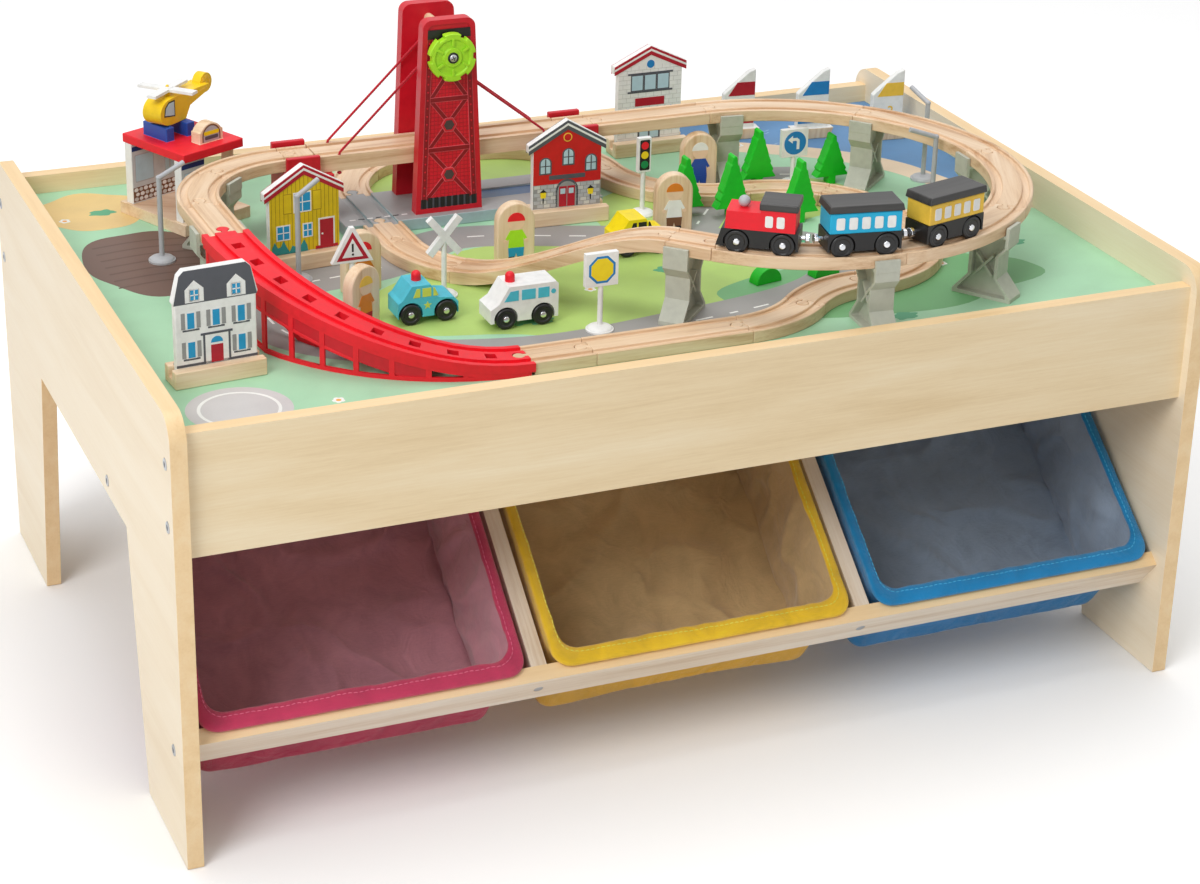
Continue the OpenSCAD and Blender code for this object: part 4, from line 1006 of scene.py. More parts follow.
PYLON_FOOT = 35
PYLON_HEAD = 27
PYLON_TALL = 198
PYLON_FLOOR = 35.5
PYLON_INNER = 24
LATTICE_LOW = 15
LATTICE_HIGH = 179
LATTICE_BARS = (14, 65.5, 117, 168.5)
TIE_Z = 586
TIE_R = 4.5
LANDINGS = (-237, 43)
KNOB_FRONT = 48.3


def pylon_half(z):
    """Half width of the pylon's sunk panel at a height."""
    return PYLON_FOOT - (PYLON_FOOT - PYLON_HEAD) * z / PYLON_TALL - 5


class Lattice:
    """Girders in relief on a pylon's sunk outer face."""

    def __init__(self, kit, turn):
        self.kit = kit
        self.place = stand(*TOWER, BOARD + 12, turn)

    def lay(self, outline, thick, name):
        self.kit.upright(self.place, outline, -PYLON_FLOOR, -PYLON_FLOOR - thick, name)

    def girder(self, x0, z0, x1, z1, wide, thick):
        """A dark strip between two thin pale edges."""
        self.lay(bar(x0, z0, x1, z1, wide + 1.0), thick, "lattice_edge")
        self.lay(bar(x0, z0, x1, z1, wide), thick + 0.12, "deep_red")

    def grid(self):
        """A red ground with a fine grid."""
        low, high = pylon_half(LATTICE_LOW), pylon_half(LATTICE_HIGH)
        ground = [(-low, LATTICE_LOW), (low, LATTICE_LOW), (high, LATTICE_HIGH), (-high, LATTICE_HIGH)]
        self.lay(ground, 0.15, "lattice_red")
        for k in range(-6, 7):
            line = bar(k * low / 7, LATTICE_LOW, k * high / 7, LATTICE_HIGH, 0.55)
            self.lay(line, 0.3, "lattice_line")
        for k in range(1, 41):
            z = LATTICE_LOW + (LATTICE_HIGH - LATTICE_LOW) * k / 41
            self.lay(rect(-pylon_half(z), z - 0.28, pylon_half(z), z + 0.28), 0.34, "lattice_line")

    def braces(self):
        """Crossed braces with a boss at each crossing, and the bars between them."""
        for z0, z1 in zip(LATTICE_BARS, LATTICE_BARS[1:]):
            w0, w1 = pylon_half(z0) - 6, pylon_half(z1) - 6
            self.girder(-w0, z0, w1, z1, 3.6, 0.5)
            self.girder(w0, z0, -w1, z1, 3.6, 0.8)
            self.girder(-pylon_half(z1) + 3, z1, pylon_half(z1) - 3, z1, 4.2, 1.1)
            z = (z0 + z1) / 2 - 1
            self.lay(disc(0, z, 8.4, 6), 1.2, "lattice_edge")
            self.lay(disc(0, z, 7.4, 6), 1.45, "lattice_red")
            self.lay(disc(0, z, 5.6, 6), 1.6, "iron")

    def stiles(self):
        """The two long sides, with a row of rivets."""
        low, high = pylon_half(LATTICE_LOW) - 3, pylon_half(LATTICE_HIGH) - 3
        for side in (-1, 1):
            self.girder(side * low, LATTICE_LOW, side * high, LATTICE_HIGH, 4.6, 1.3)
            for k in range(20):
                z = LATTICE_LOW + 4 + k * 8.2
                self.lay(disc(side * (pylon_half(z) - 3), z, 0.9, 10), 1.75, "lattice_red")

    def ends(self):
        """A slatted foot and a dark head."""
        foot, head = pylon_half(8), pylon_half(188)
        self.lay(rect(-foot, 2, foot, 15.5), 0.4, "slate")
        for k in range(9):
            x = (k - 4) * foot * 2 / 9
            self.lay(rect(x - 2.1, 1.8, x + 2.1, 15.8), 1.2, "black")
        self.lay(rect(-head, 179, head, 188), 1.4, "black")


def brick_face(kit, place, wide, low, high, front):
    """Pale bricks in relief, in bonded courses, on a red face."""
    course = (high - low) / 9
    for row in range(9):
        z = low + row * course
        shift = 0 if row % 2 else 4.6
        x = -wide - shift
        while x < wide:
            a, b = max(x + 0.5, -wide), min(x + 8.7, wide)
            if b - a > 1.5:
                brick = rect(a, z + 0.5, b, z + course - 0.4)
                kit.upright(place, brick, front, front - 0.35, "white")
            x += 9.2


def make_bridge():
    dress("bridge_base", ["base_top", "base_side", "river"], 0.9, base_rule)
    dress("bridge_pylons", ["tower_red"], 1.6, segments=3)
    foot_rule = lambda at, normal: 1 if at.z < BOARD + 16 else 0
    dress("bridge_landings", ["tower_red", "base_side"], 1.0, foot_rule)
    relief = Kit()
    for turn in (0, 180):
        lattice = Lattice(relief, turn)
        lattice.grid()
        lattice.braces()
        lattice.stiles()
        lattice.ends()
    relief.put("pylon_lattice", "table", 0.12, slot="red_paint")
    tie_dowel()
    bricks = Kit()
    for x in LANDINGS:
        for turn in (0, 180):
            brick_face(bricks, stand(x, TOWER[1], BOARD, turn), 15, 22, 58, -29)
    bricks.put("landing_bricks", "table", 0.12, slot="white_paint")
    dress("winding_axle", [LIGHT_BEECH], 0.6, axis=(0, 1, 0))
    dress("winding_knob", ["lime"], 0.7)
    knob_screw()
    for node in ("left_deck", "right_deck"):
        dress(node, [BEECH], 0.9, axis=(1, 0, 0))
    dashes = Kit()
    for k in range(7):
        place = stand(-196 + k * 9, 110, BOARD + 12)
        dashes.flat(place, rect(-3, -1.2, 3, 1.2), -0.2, 0.12, "black" if k % 2 else "white")
    dashes.put("base_marks", "table", 0.0, slot="base_paint")


def tie_dowel():
    """A plain round bar that holds the two towers apart near their tops."""
    kit = Kit()
    place = stand(*TOWER, TIE_Z) @ Matrix.Rotation(math.radians(90), 4, "X")
    reach = PYLON_INNER + 0.4
    kit.lathe(place, [(TIE_R, -reach), (TIE_R, 0), (TIE_R, reach)], LIGHT_BEECH)
    kit.put("tower_tie_dowel", "table", 0, (0, 1, 0), slot="beech")


def base_rule(at, normal):
    """The base's flat top is grey, its sides paler, the sunk channel blue."""
    if normal.z > 0.7:
        sunk = at.z < BOARD + 11.5
        return 2 if sunk and at.x > -60 and 120 < at.y < 160 else 0
    return 1


def knob_screw():
    """A washer and a cross-slot screw in the middle of the knob, and its raised grips. The slots are black
    strips on the head, painted shade in place of cut slots.
    """
    kit = Kit()
    place = stand(TOWER[0], TOWER[1] - KNOB_FRONT, AXLE) @ Matrix.Rotation(math.radians(90), 4, "X")
    kit.lathe(place, [(5.6, -0.4), (5.6, 0.5), (5.2, 0.8), (4.2, 0.8), (4.0, 0.4)], "black")
    kit.lathe(place, [(3.8, -0.2), (3.8, 0.9), (3.2, 1.5), (1.6, 1.9), (0, 2.0)], STEEL)
    # Painted shade: black strips on the screw head stand for the shaded cross slot.
    for turn in (20, 110):
        slot = place @ Matrix.Rotation(math.radians(turn), 4, "Z")
        kit.flat(slot, rect(-2.4, -0.45, 2.4, 0.45), 1.5, 2.06, "black")
    for k in range(6):
        at = place @ stand(0, 0, 0, 60 * k + 30) @ stand(15, 0, 0)
        kit.flat(at, soft_rect(-3.6, -1.3, 3.6, 1.3, 1.2), -0.3, 0.7, "lime")
    kit.put("knob_screw", "winder", 0.25, slot="lime")


make_bridge()


# Train

CAR_SIDE = 15.45
PANE_OUT = 0.5
SILL_Z = 494
DOME_Z = 507.6


def car_place(index):
    """The place of a car on the loop, with the way out from the loop's centre as its X."""
    turn = math.radians(CAR_TURNS[index])
    x = LOOP[0] + CAR_RADIUS * math.cos(turn)
    y = LOOP[1] + CAR_RADIUS * math.sin(turn)
    return stand(x, y, 0, CAR_TURNS[index])


def car_windows(kit, index, spots, high, half):
    """Rounded pale panes on both sides of a car, whose sides face along its local X."""
    for side in (-90, 90):
        place = car_place(index) @ Matrix.Rotation(math.radians(side), 4, "Z")
        flip = 1 if side > 0 else -1
        for spot in spots:
            pane = soft_rect(flip * spot - half, SILL_Z, flip * spot + half, high, 1.6)
            kit.upright(place, pane, -CAR_SIDE, -CAR_SIDE - PANE_OUT, "white")


def make_train():
    dress("train_chassis", ["black"], 0.9)
    dress("train_roofs", [BLACK_WOOD], 1.0)
    grey_dome = lambda at, normal: 1 if at.z > DOME_Z and on_dome(at) else 0
    dress("engine_body", ["red", "grey"], 1.0, grey_dome)
    dress("blue_coach_body", ["sky"], 1.2)
    dress("yellow_coach_body", ["gold"], 1.2)
    dress("coupling_magnets", [CHROME], 0.5)
    for car in ("engine", "blue_coach", "yellow_coach"):
        make_wheels(car)
    panes = Kit()
    car_windows(panes, 0, (8, 18.5), 505, 3.6)
    for index in (1, 2):
        car_windows(panes, index, (-24, -12, 0, 12, 24), 505.5, 4.0)
    panes.put("train_windows", "train", 0.2, slot="white_paint")


def on_dome(at):
    """Whether a point of the engine is on the round dome of its bonnet."""
    local = car_place(0).inverted() @ Vector(at)
    return abs(local.y + 17) < 7


def axle_way(node):
    """The direction of a wheel pair's axle."""
    for turn, car in zip(CAR_TURNS, ("engine", "blue_coach", "yellow_coach")):
        if node.startswith(car):
            return Vector((math.cos(math.radians(turn)), math.sin(math.radians(turn)), 0))
    return Vector((0, 1, 0))


def make_wheels(car):
    """Two pairs of black turned wheels with a bright hub and axle end."""
    for node in (f"{car}_front_wheels", f"{car}_rear_wheels"):
        low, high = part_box(node)
        middle = (low + high) / 2
        hub = (high.z - low.z) / 2 * 0.3
        along = axle_way(node)

        def rule(face):
            """A face is part of the hub where all of its corners are close to the axle."""
            aways = [vert.co - middle for vert in face.verts]
            return 1 if max((away - along * away.dot(along)).length for away in aways) < hub else 0

        dress(node, ["tyre", CHROME], 0.35, face_rule=rule)


make_train()


# Road vehicles

AUTO_SIDE = 15
MARK_SINK = 0.1
MARK_OUT = 0.35
LEVEL = 1e-5
AUTO_PANES = (
    [(-15, 26.5), (-8, 26.5), (-8, 35), (-11.5, 35)],
    [(-6, 26.5), (2.5, 26.5), (2.5, 35), (-6, 35)],
    [(4.5, 26.5), (9.5, 26.5), (6, 34.5), (4.5, 35)],
)
VAN_PANES = (
    [(13, 27), (24, 27), (24, 37), (13, 37)],
    [(-3, 27), (10.5, 27), (10.5, 37), (-3, 37)],
    [(-20, 27), (-6, 27), (-6, 37), (-14, 36.5)],
)
VAN_ROOF = BOARD + 41
BEACON_FORWARD = 15


def star(x, z, r):
    """A five-pointed star."""
    out = []
    for k in range(10):
        a = math.radians(90 + 36 * k)
        size = r if k % 2 == 0 else r * 0.42
        out.append((x + size * math.cos(a), z + size * math.sin(a)))
    return out


def vehicle_marks(body, at, mat, outlines):
    """Window panes and painted marks on both sides of a vehicle."""
    kit = Kit()
    for outline in outlines:
        kit.both(stand(*at, BOARD), outline, MARK_SINK - AUTO_SIDE, -AUTO_SIDE - MARK_OUT, mat)
    kit.put(body + "_marks", body, 0.2)


def split_sides(bm):
    """Cuts the car's many-cornered sides into simpler faces, so that their edges round off cleanly."""
    for at, way in (((POLICE[0], 0, 0), (1, 0, 0)), ((0, 0, BOARD + 24.3), (0, 0, 1))):
        everything = bm.verts[:] + bm.edges[:] + bm.faces[:]
        bmesh.ops.bisect_plane(bm, geom=everything, plane_co=Vector(at) * MM, plane_no=way)


def turn_van(bm):
    """Turns the van about end for end, and moves its beacon forward on the flat roof."""
    for vert in bm.verts:
        vert.co.x = 2 * AMBULANCE[0] * MM - vert.co.x
    level = lambda vert: abs(vert.co.z - VAN_ROOF * MM) < LEVEL
    beacon = {vert for vert in bm.verts if vert.co.z > VAN_ROOF * MM + LEVEL}
    for vert in list(beacon):
        for edge in vert.link_edges:
            beacon.add(edge.other_vert(vert))
    roof = [face for face in bm.faces if all(level(vert) for vert in face.verts)]
    bmesh.ops.delete(bm, geom=roof, context="FACES_ONLY")
    bmesh.ops.delete(bm, geom=[edge for edge in bm.edges if not edge.link_faces], context="EDGES")
    for vert in beacon:
        vert.co.x -= BEACON_FORWARD * MM
    rim = [edge for edge in bm.edges if len(edge.link_faces) == 1]
    bmesh.ops.triangle_fill(bm, edges=rim, use_beauty=True)


def make_vehicles():
    above = lambda height: lambda at, normal: 1 if at.z > BOARD + height else 0
    dress("police_car_body", ["cyan", "red"], 1.6, above(38.4), segments=3, reshape=split_sides)
    dress("ambulance_body", ["white", "red"], 1.6, above(41.4), segments=3, reshape=turn_van)
    dress("taxi_body", ["taxi"], 1.6, segments=3)
    for car in ("police_car", "ambulance", "taxi"):
        make_wheels(car)
    vehicle_marks("police_car", POLICE, "lime_glass", [*AUTO_PANES, star(-1, 18, 4.2)])
    vehicle_marks("ambulance", AMBULANCE, "cyan", [*VAN_PANES, disc(28, 32, 2.4)])
    checks = []
    for k in range(8):
        z = 19 + 2 * (k % 2)
        checks.append(rect(4 * k - 14, z, 4 * k - 10, z + 2))
    vehicle_marks("taxi", TAXI, "black", [*AUTO_PANES, *checks])


make_vehicles()


# Town

HOUSE_FOOT = 7
HOUSE_HALF = 4
ROOF_EAVE = 5


class Facade:
    """Painted shapes in low relief on both faces of a house front."""

    def __init__(self, at):
        self.kit = Kit()
        self.place = stand(at[0], at[1], BOARD + HOUSE_FOOT, at[2])

    def add(self, outline, mat, layer):
        out = HOUSE_HALF + 0.12 + 0.13 * layer
        self.kit.both(self.place, outline, RELIEF_SINK - HOUSE_HALF, -out, mat)

    def box(self, x0, z0, x1, z1, mat, layer):
        self.add(rect(x0, z0, x1, z1), mat, layer)

    def window(self, x, z, w, h, pane, frame_mat, cross=True):
        self.box(x - w / 2 - 1.2, z - 1.2, x + w / 2 + 1.2, z + h + 1.2, frame_mat, 2)
        self.box(x - w / 2, z, x + w / 2, z + h, pane, 3)
        if cross:
            self.box(x - 0.5, z, x + 0.5, z + h, frame_mat, 4)
            self.box(x - w / 2, z + h / 2 - 0.5, x + w / 2, z + h / 2 + 0.5, frame_mat, 4)

    def put(self, name):
        self.kit.put(name, "table", 0.06, slot="white_paint")


def roof_band(face, wide, wall, top, mat):
    """A deep roof edge with a white stripe along it."""
    edge = wide / 2 + ROOF_EAVE - 0.4
    for drop, thick, shown, layer in ((0, 9.5, mat, 5), (2.8, 2.4, "white", 6)):
        low, high = wall - drop, top - drop - 0.4
        upper = [(-edge, low - 0.2), (0, high), (edge, low - 0.2)]
        lower = [(edge, low - thick), (0, high - thick), (-edge, low - thick)]
        face.add(upper + lower, shown, layer)


def white_house():
    face = Facade(WHITE_HOUSE)
    face.box(-36, 9.4, 36, 66, "white", 0)
    face.add([(-38, 67), (38, 67), (32.5, 93), (28, 97.4), (-28, 97.4), (-32.5, 93)], "slate", 1)
    for x in (-19, 19):
        face.add([(x - 8.5, 68), (x + 8.5, 68), (x + 8.5, 80), (x, 88), (x - 8.5, 80)], "white", 2)
        face.window(x, 70, 7, 9, "glass", "white")
    for x, z in ((-23, 44), (0, 44), (23, 44), (-23, 17), (23, 17)):
        face.box(x - 7.6, z - 2.2, x + 7.6, z - 0.6, "slate", 2)
        for side in (-1, 1):
            face.box(x + side * 7 - 1.8, z, x + side * 7 + 1.8, z + 15, "stone", 2)
        face.window(x, z, 6.4, 14.5, "glass", "white", False)
    face.box(-12, 9.4, 12, 37, "white", 2)
    for x in (-11.5, 11.5):
        face.box(x - 0.9, 9.4, x + 0.9, 36, "slate", 3)
    face.box(-14.5, 36, 14.5, 38, "slate", 3)
    face.box(-5.6, 9.8, 5.6, 26, "crimson", 3)
    face.add(half_round(0, 28, 5.6, 8), "glass", 3)
    face.box(-37, 9.2, 37, 11.4, "slate", 2)
    face.put("white_house_face")


def yellow_house():
    face = Facade(YELLOW_HOUSE)
    face.add([(-35.6, 9.2), (35.6, 9.2), (35.6, 67), (0, 92), (-35.6, 67)], "house_yellow", 0)
    for k in range(-8, 9):
        top = 90 - abs(k) * 4.2 * 0.62 - 1
        face.box(k * 4.2 - 0.3, 9.4, k * 4.2 + 0.3, top, "house_line", 1)
    roof_band(face, 72, 72, 96, "crimson")
    face.window(-2, 50, 16, 18, "glass", "white")
    for x in (-17, 13):
        face.box(x - 4.6, 49, x + 4.6, 69, "house_line", 2)
        face.box(x - 3.8, 49.8, x + 3.8, 68.2, "house_yellow", 3)
    face.window(-22, 24, 12, 13, "glass", "white")
    face.window(3, 24, 8, 12, "glass", "white")
    face.box(14, 10, 31, 40, "white", 2)
    face.box(15.6, 10, 29.4, 38.4, "crimson", 3)
    face.add(disc(18, 24, 1.0, 12), "white", 4)
    face.box(11, 9.2, 34, 12.2, "crimson", 4)
    leaves = [(-34 + 3 * k, 16 + 4.6 * math.sin(k * 1.9) + 3 * math.sin(k * 0.6)) for k in range(13)]
    face.add([(-34, 9.3), *leaves, (3, 9.3)], "teal", 5)
    face.put("yellow_house_face")


def arch_pane(x, z, w, h):
    """A pane with a round top."""
    r = w / 2
    return [(x - r, z), (x + r, z)] + half_round(x, z + h - r, r, 10)


def red_house():
    face = Facade(RED_HOUSE)
    face.add([(-35.6, 9.2), (35.6, 9.2), (35.6, 71), (0, 96), (-35.6, 71)], "house_red", 0)
    face.box(-35.6, 9.2, 35.6, 34, "stone", 1)
    for row in range(6):
        z = 10 + row * 4
        for k in range(-5, 6):
            x = k * 7 + (3.5 if row % 2 else 0)
            if abs(x) < 33:
                face.box(x - 3.1, z, x + 3.1, z + 3.4, "grey" if (row + k) % 3 else "mortar", 2)
    roof_band(face, 72, 76, 100, "slate")
    for x, z in ((-23, 46), (1, 54), (25, 46)):
        face.add(arch_pane(x, z - 1.4, 13, 18), "slate", 2)
        face.add(arch_pane(x, z, 10, 15.4), "pale_glass", 3)
        face.box(x - 0.6, z, x + 0.6, z + 15, "slate", 4)
        face.box(x - 5, z + 7, x + 5, z + 8, "slate", 4)
    face.add(disc(0, 82, 4.6), "gold", 2)
    face.add(disc(0, 82, 3.6), "house_red", 3)
    face.box(-19, 38.6, 19, 43.2, "slate", 2)
    face.add(arch_pane(0, 9.4, 24, 29), "slate", 2)
    face.add(arch_pane(0, 9.4, 20, 26.6), "stone", 3)
    for x in (-4.4, 4.4):
        face.box(x - 4, 9.6, x + 4, 31, "crimson", 4)
        face.box(x - 2.6, 23, x + 2.6, 28.6, "pale_glass", 5)
    for x in (-25, 25):
        face.add([(x - 2.6, 20), (x + 2.6, 20), (x + 3.2, 26), (x - 3.2, 26)], "lamp_yellow", 3)
        face.add([(x - 3.8, 26), (x + 3.8, 26), (x, 29.4)], "black", 4)
        face.box(x - 0.6, 14.5, x + 0.6, 20, "black", 4)
    face.put("red_house_face")


def hospital():
    face = Facade(HOSPITAL)
    face.add([(-36.6, 9.2), (36.6, 9.2), (36.6, 86), (0, 106), (-36.6, 86)], "white", 0)
    for row in range(16):
        z = 11 + row * 5
        face.box(-36.4, z, 36.4, z + 0.45, "mortar", 1)
        for k in range(-4, 5):
            x = k * 9 + (4.5 if row % 2 else 0)
            if abs(x) < 36:
                face.box(x - 0.22, z, x + 0.22, z + 5, "mortar", 1)
    roof_band(face, 74, 92, 112, "crimson")
    face.add(disc(0, 92, 4.4), "sign_blue", 2)
    for z in (62, 82):
        face.box(-26, z - 1, 26, z + 1, "slate", 3)
    for x in (-15, 0, 15):
        face.window(x, 64, 12.4, 16, "pale_glass", "slate", False)
    face.box(-17, 46, 17, 55, "crimson", 2)
    face.box(-13, 9.4, 13, 38, "slate", 2)
    for x in (-6, 6):
        face.box(x - 5, 10, x + 5, 36, "pale_glass", 3)
    for x in (-25, 25):
        face.add(disc(x, 40, 4.2), "sign_blue", 2)
        face.box(x - 4.4, 33, x + 4.4, 38, "lamp_yellow", 3)
    face.put("hospital_face")


def make_houses():
    dress("house_fronts", ["white"], 0.8)
    dress("house_blocks", [LIGHT_BEECH], 1.0)
    white_house()
    yellow_house()
    red_house()
    hospital()


# Each sign's foot, and the height of its plate's middle over the board
OCTAGON_SIGN = (-63, -204, 60)
WARNING_SIGN = (-258, -79, 60)
ARROW_SIGN = (280, 94, 46)
SIGNAL = (95, 62, 64)
ARROW = [
    (5, -7), (5, 3), (2.2, 5.6), (-3, 5.6), (-3, 8.2), (-8.4, 4),
    (-3, -0.2), (-3, 2.4), (1, 2.4), (1.8, 1.6), (1.8, -7),
]


def sign_face(kit, at, shapes, front=-3.0):
    """Painted shapes on the front of a sign plate, drawn from its middle."""
    place = stand(at[0], at[1], BOARD + at[2])
    for layer, (outline, mat) in enumerate(shapes):
        kit.relief(place, outline, front, mat, layer, 0.15)


def octagon(r):
    turn = [math.pi * (k + 0.5) / 4 for k in range(8)]
    return [(r * math.cos(a), r * math.sin(a)) for a in turn]


def make_signs():
    dress("traffic_signs", ["white"], 0.5)
    kit = Kit()
    sign_face(kit, OCTAGON_SIGN, [(octagon(14), "sign_blue"), (octagon(11.6), "lamp_yellow")])
    big = [(-15.5, -11.5), (15.5, -11.5), (0, 16)]
    small = [(-10, -8.5), (10, -8.5), (0, 9.6)]
    stroke = rect(-0.9, -3.4, 0.9, 4.6)
    sign_face(kit, WARNING_SIGN, [(big, "crimson"), (small, "white"), (stroke, "black")])
    sign_face(kit, WARNING_SIGN, [(disc(0, -5.8, 1.1), "black")], -3.4)
    sign_face(kit, ARROW_SIGN, [(disc(0, 0, 12.6, 36), "sign_blue"), (ARROW, "white")])
    sign_face(kit, SIGNAL, [(soft_rect(-5.4, -16, 5.4, 16, 1.4), "black")])
    for z, mat in ((10, "red"), (0, "lamp_yellow"), (-10, "lamp_green")):
        sign_face(kit, SIGNAL, [(disc(0, z, 4.0), mat)], -3.15)
    kit.put("sign_faces", "table", 0.08, slot="white_paint")
    dress("street_lamps", ["grey"], 0.4)
    dress("trees_and_bushes", ["green"], 0.7)


# Each figure's cap, shirt and trousers
FIGURE_DRESS = (
    ("red", "lime", "glass"), ("red", "orange", "brown"), ("gold", "orange", "crimson"),
    ("orange", "white", "brown"), ("white", "blue", "blue"),
)
FIGURE_HALF = 6
SHIRT = [
    (-6, 33), (6, 33), (11, 24), (8.6, 22.6), (7, 25),
    (8, 15), (-8, 15), (-7, 25), (-8.6, 22.6), (-11, 24),
]
TROUSERS = [(-8, 15), (8, 15), (7.4, 6), (1, 6), (0, 10), (-1, 6), (-7.4, 6)]


def paint_figure(kit, place, cap, shirt, trousers):
    shapes = [
        (disc(0, 41, 8.4, 30), "skin", 1), (half_round(0, 42, 8.8, 12), cap, 2),
        (SHIRT, shirt, 2), (TROUSERS, trousers, 3),
    ]
    for side in (-1, 1):
        shapes.append((disc(side * 4.4, 4.6, 3.4, 16, 0.6), "black", 2))
        shapes.append((disc(side * 10.4, 22, 1.9, 14), "skin", 3))
    for outline, mat, layer in shapes:
        kit.relief(place, outline, -FIGURE_HALF, mat, layer, 0.1)


def make_figures():
    """Wooden people with plain painted clothes, in simple shapes of no one's design."""
    dress("figures", [LIGHT_BEECH], 1.6, axis=(0, 0, 1), segments=3)
    kit = Kit()
    for (x, y, turn), clothes in zip(FIGURES, FIGURE_DRESS):
        paint_figure(kit, stand(x, y, BOARD, turn), *clothes)
    kit.put("figure_paint", "table", 0.06, slot="beech")


BOAT_TURN = -6
BOAT_FOOT = 11
SAIL_STRIPES = ([(-13, 38), (17.4, 38), (17.4, 53), (-3, 53)], rect(-17, 6, 17.4, 9))


def boat_number(name, place, text, mat):
    """A raised plain number on one face of a sail."""
    data = bpy.data.curves.new("digit_" + text, "FONT")
    data.body = text
    data.size = 17 * MM
    data.align_x = "CENTER"
    data.extrude = 0.0002
    data.materials.append(shade(mat))
    obj = bpy.data.objects.new(name, data)
    bpy.context.scene.collection.objects.link(obj)
    at = place @ Vector((3, -4.15, 15))
    turn = place.to_3x3().to_4x4() @ Matrix.Rotation(math.radians(90), 4, "X")
    obj.matrix_world = Matrix.Translation(at * MM) @ turn
    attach(obj, "table")


def make_boats():
    hull_rule = lambda at, normal: 1 if at.z < BOARD + BOAT_FOOT + 0.2 else 0
    dress("sail_boats", ["white", LIGHT_BEECH], 0.8, hull_rule)
    kit = Kit()
    for number, (at, mat) in enumerate(zip(BOATS, ("crimson", "sign_blue", "gold")), 1):
        for stripe in SAIL_STRIPES:
            kit.both(stand(*at, BOARD + BOAT_FOOT, BOAT_TURN), stripe, -3.95, -4.3, mat)
        for side, turn in (("front", 0), ("back", 180)):
            place = stand(*at, BOARD + BOAT_FOOT, BOAT_TURN + turn)
            boat_number(f"boat_number_{number}_{side}", place, str(number), mat)
    kit.put("sail_stripes", "table", 0.08, slot="white_paint")


HELI_BASE = 12
HELI_WALL = 62
HELI_DECK = 9
HELI_PAD = 14


def heliport_wall(lay, a, b):
    """Paint on one wall: a dark blue band, a wide window and a door over a course of round stones."""
    lay(rect(a, 13, b, 73), 0, "wall_grey")
    lay(rect(a, 66, b, 71), 1, "navy")
    lay(rect(a, 13, b, 28), 1, "brown")
    for row in range(3):
        for k in range(int((b - a) // 6)):
            x = a + 3.4 + 6 * k + (1.6 if row % 2 else 0)
            if x < b - 2.4:
                tone = "white" if (row + k) % 3 else "mortar"
                lay(disc(x, 15.6 + 4.9 * row, 2.7 - 0.3 * ((k + row) % 2), 9, 0.8), 2, tone)
    wide = min(b - a - 8, 24)
    lay(soft_rect(a + 3, 33, a + 3 + wide, 62, 1.2), 1, "grey")
    lay(soft_rect(a + 4, 34, a + 2 + wide, 61, 1.0), 2, "pale_glass")
    if b - a > 40:
        for x in (b - 34, b - 17):
            lay(soft_rect(x, 33, x + 13, 62, 1.2), 1, "grey")
            lay(soft_rect(x + 1, 34, x + 12, 61, 1.0), 2, "pale_glass")
            lay(rect(x + 6, 34, x + 7, 61), 3, "grey")


def heliport_walls(place):
    """Both faces of the long back wall and of the short front wall."""
    kit = Kit()
    for y, x0, x1 in ((-42, -38, -8), (34, -38, 38)):
        for turn, front in ((0, y), (180, -y - 10)):
            side = place @ Matrix.Rotation(math.radians(turn), 4, "Z")
            a, b = (x0, x1) if turn == 0 else (-x1, -x0)

            def lay(outline, layer, name):
                kit.relief(side, outline, front, name, layer)

            heliport_wall(lay, a + 0.8, b - 0.8)
    hut = place @ stand(8, -34.5, HELI_BASE + HELI_WALL + HELI_DECK)
    for outline, layer, name in (
        (arch_pane(0, 1.5, 23, 17), 0, "brown"), (arch_pane(0, 1.5, 20, 15.4), 1, "grey"),
        (soft_rect(-9.4, 8, 9.4, 12, 1.2), 2, "taxi"), (soft_rect(-8.4, 3.4, 8.4, 7.2, 1.4), 2, "slate"),
    ):
        kit.relief(hut, outline, 0, name, layer)
    kit.put("heliport_walls", "table", 0.06, slot="white_paint")


def make_heliport():
    place = stand(*HELIPORT[:2], BOARD, HELIPORT[2])
    back = place.inverted()

    def building_rule(at, normal):
        local = back @ Vector(at)
        base = local.z < HELI_BASE + 0.2 and abs(local.x) < 42.5
        post = local.x > 20 and -45 < local.y < -25
        return 1 if base or post else 0

    def deck_rule(at, normal):
        local = back @ Vector(at)
        if local.z < HELI_BASE + HELI_WALL + HELI_DECK + 0.4:
            return 0
        return 1 if local.y > -10 else 2

    dress("heliport_building", ["white", LIGHT_BEECH], 0.8, building_rule)
    dress("heliport_deck", ["red", "blue", LIGHT_BEECH], 1.2, deck_rule)
    dress("helicopter_body", ["helicopter"], 1.4, segments=3)
    dress("helicopter_rotor", ["white"], 0.6)
    heliport_walls(place)
    floor = HELI_BASE + HELI_WALL + HELI_DECK + HELI_PAD + 0.35
    helicopter_marks(place @ stand(-7, 12, floor, 14))


def helicopter_marks(place):
    """Framed panes, a stripe and a ring of dots on both sides of the helicopter."""
    kit = Kit()
    rim = [(-21.4, 10.8), (-3.6, 7.6), (-3.6, 24.4), (-13.4, 24.4), (-19.4, 20)]
    pane = [(-20, 12), (-5, 9), (-5, 23), (-13, 23), (-18, 19)]
    kit.both(place, rim, -10.95, -11.25, "black")
    kit.both(place, pane, -10.95, -11.4, "pale_glass")
    kit.both(place, bar(20, 20, 50, 23.4, 1.6), -10.95, -11.2, "gold")
    for x, z in disc(57, 25, 6, 8):
        kit.both(place, disc(x, z, 1.7, 14), -4.9, -5.4, "gold")
    kit.both(place, disc(57, 25, 1.6, 14), -4.9, -5.4, "gold")
    kit.put("helicopter_marks", "table", 0.08, slot="yellow_paint")


make_houses()
make_signs()
make_figures()
make_boats()
make_heliport()


# The printed board

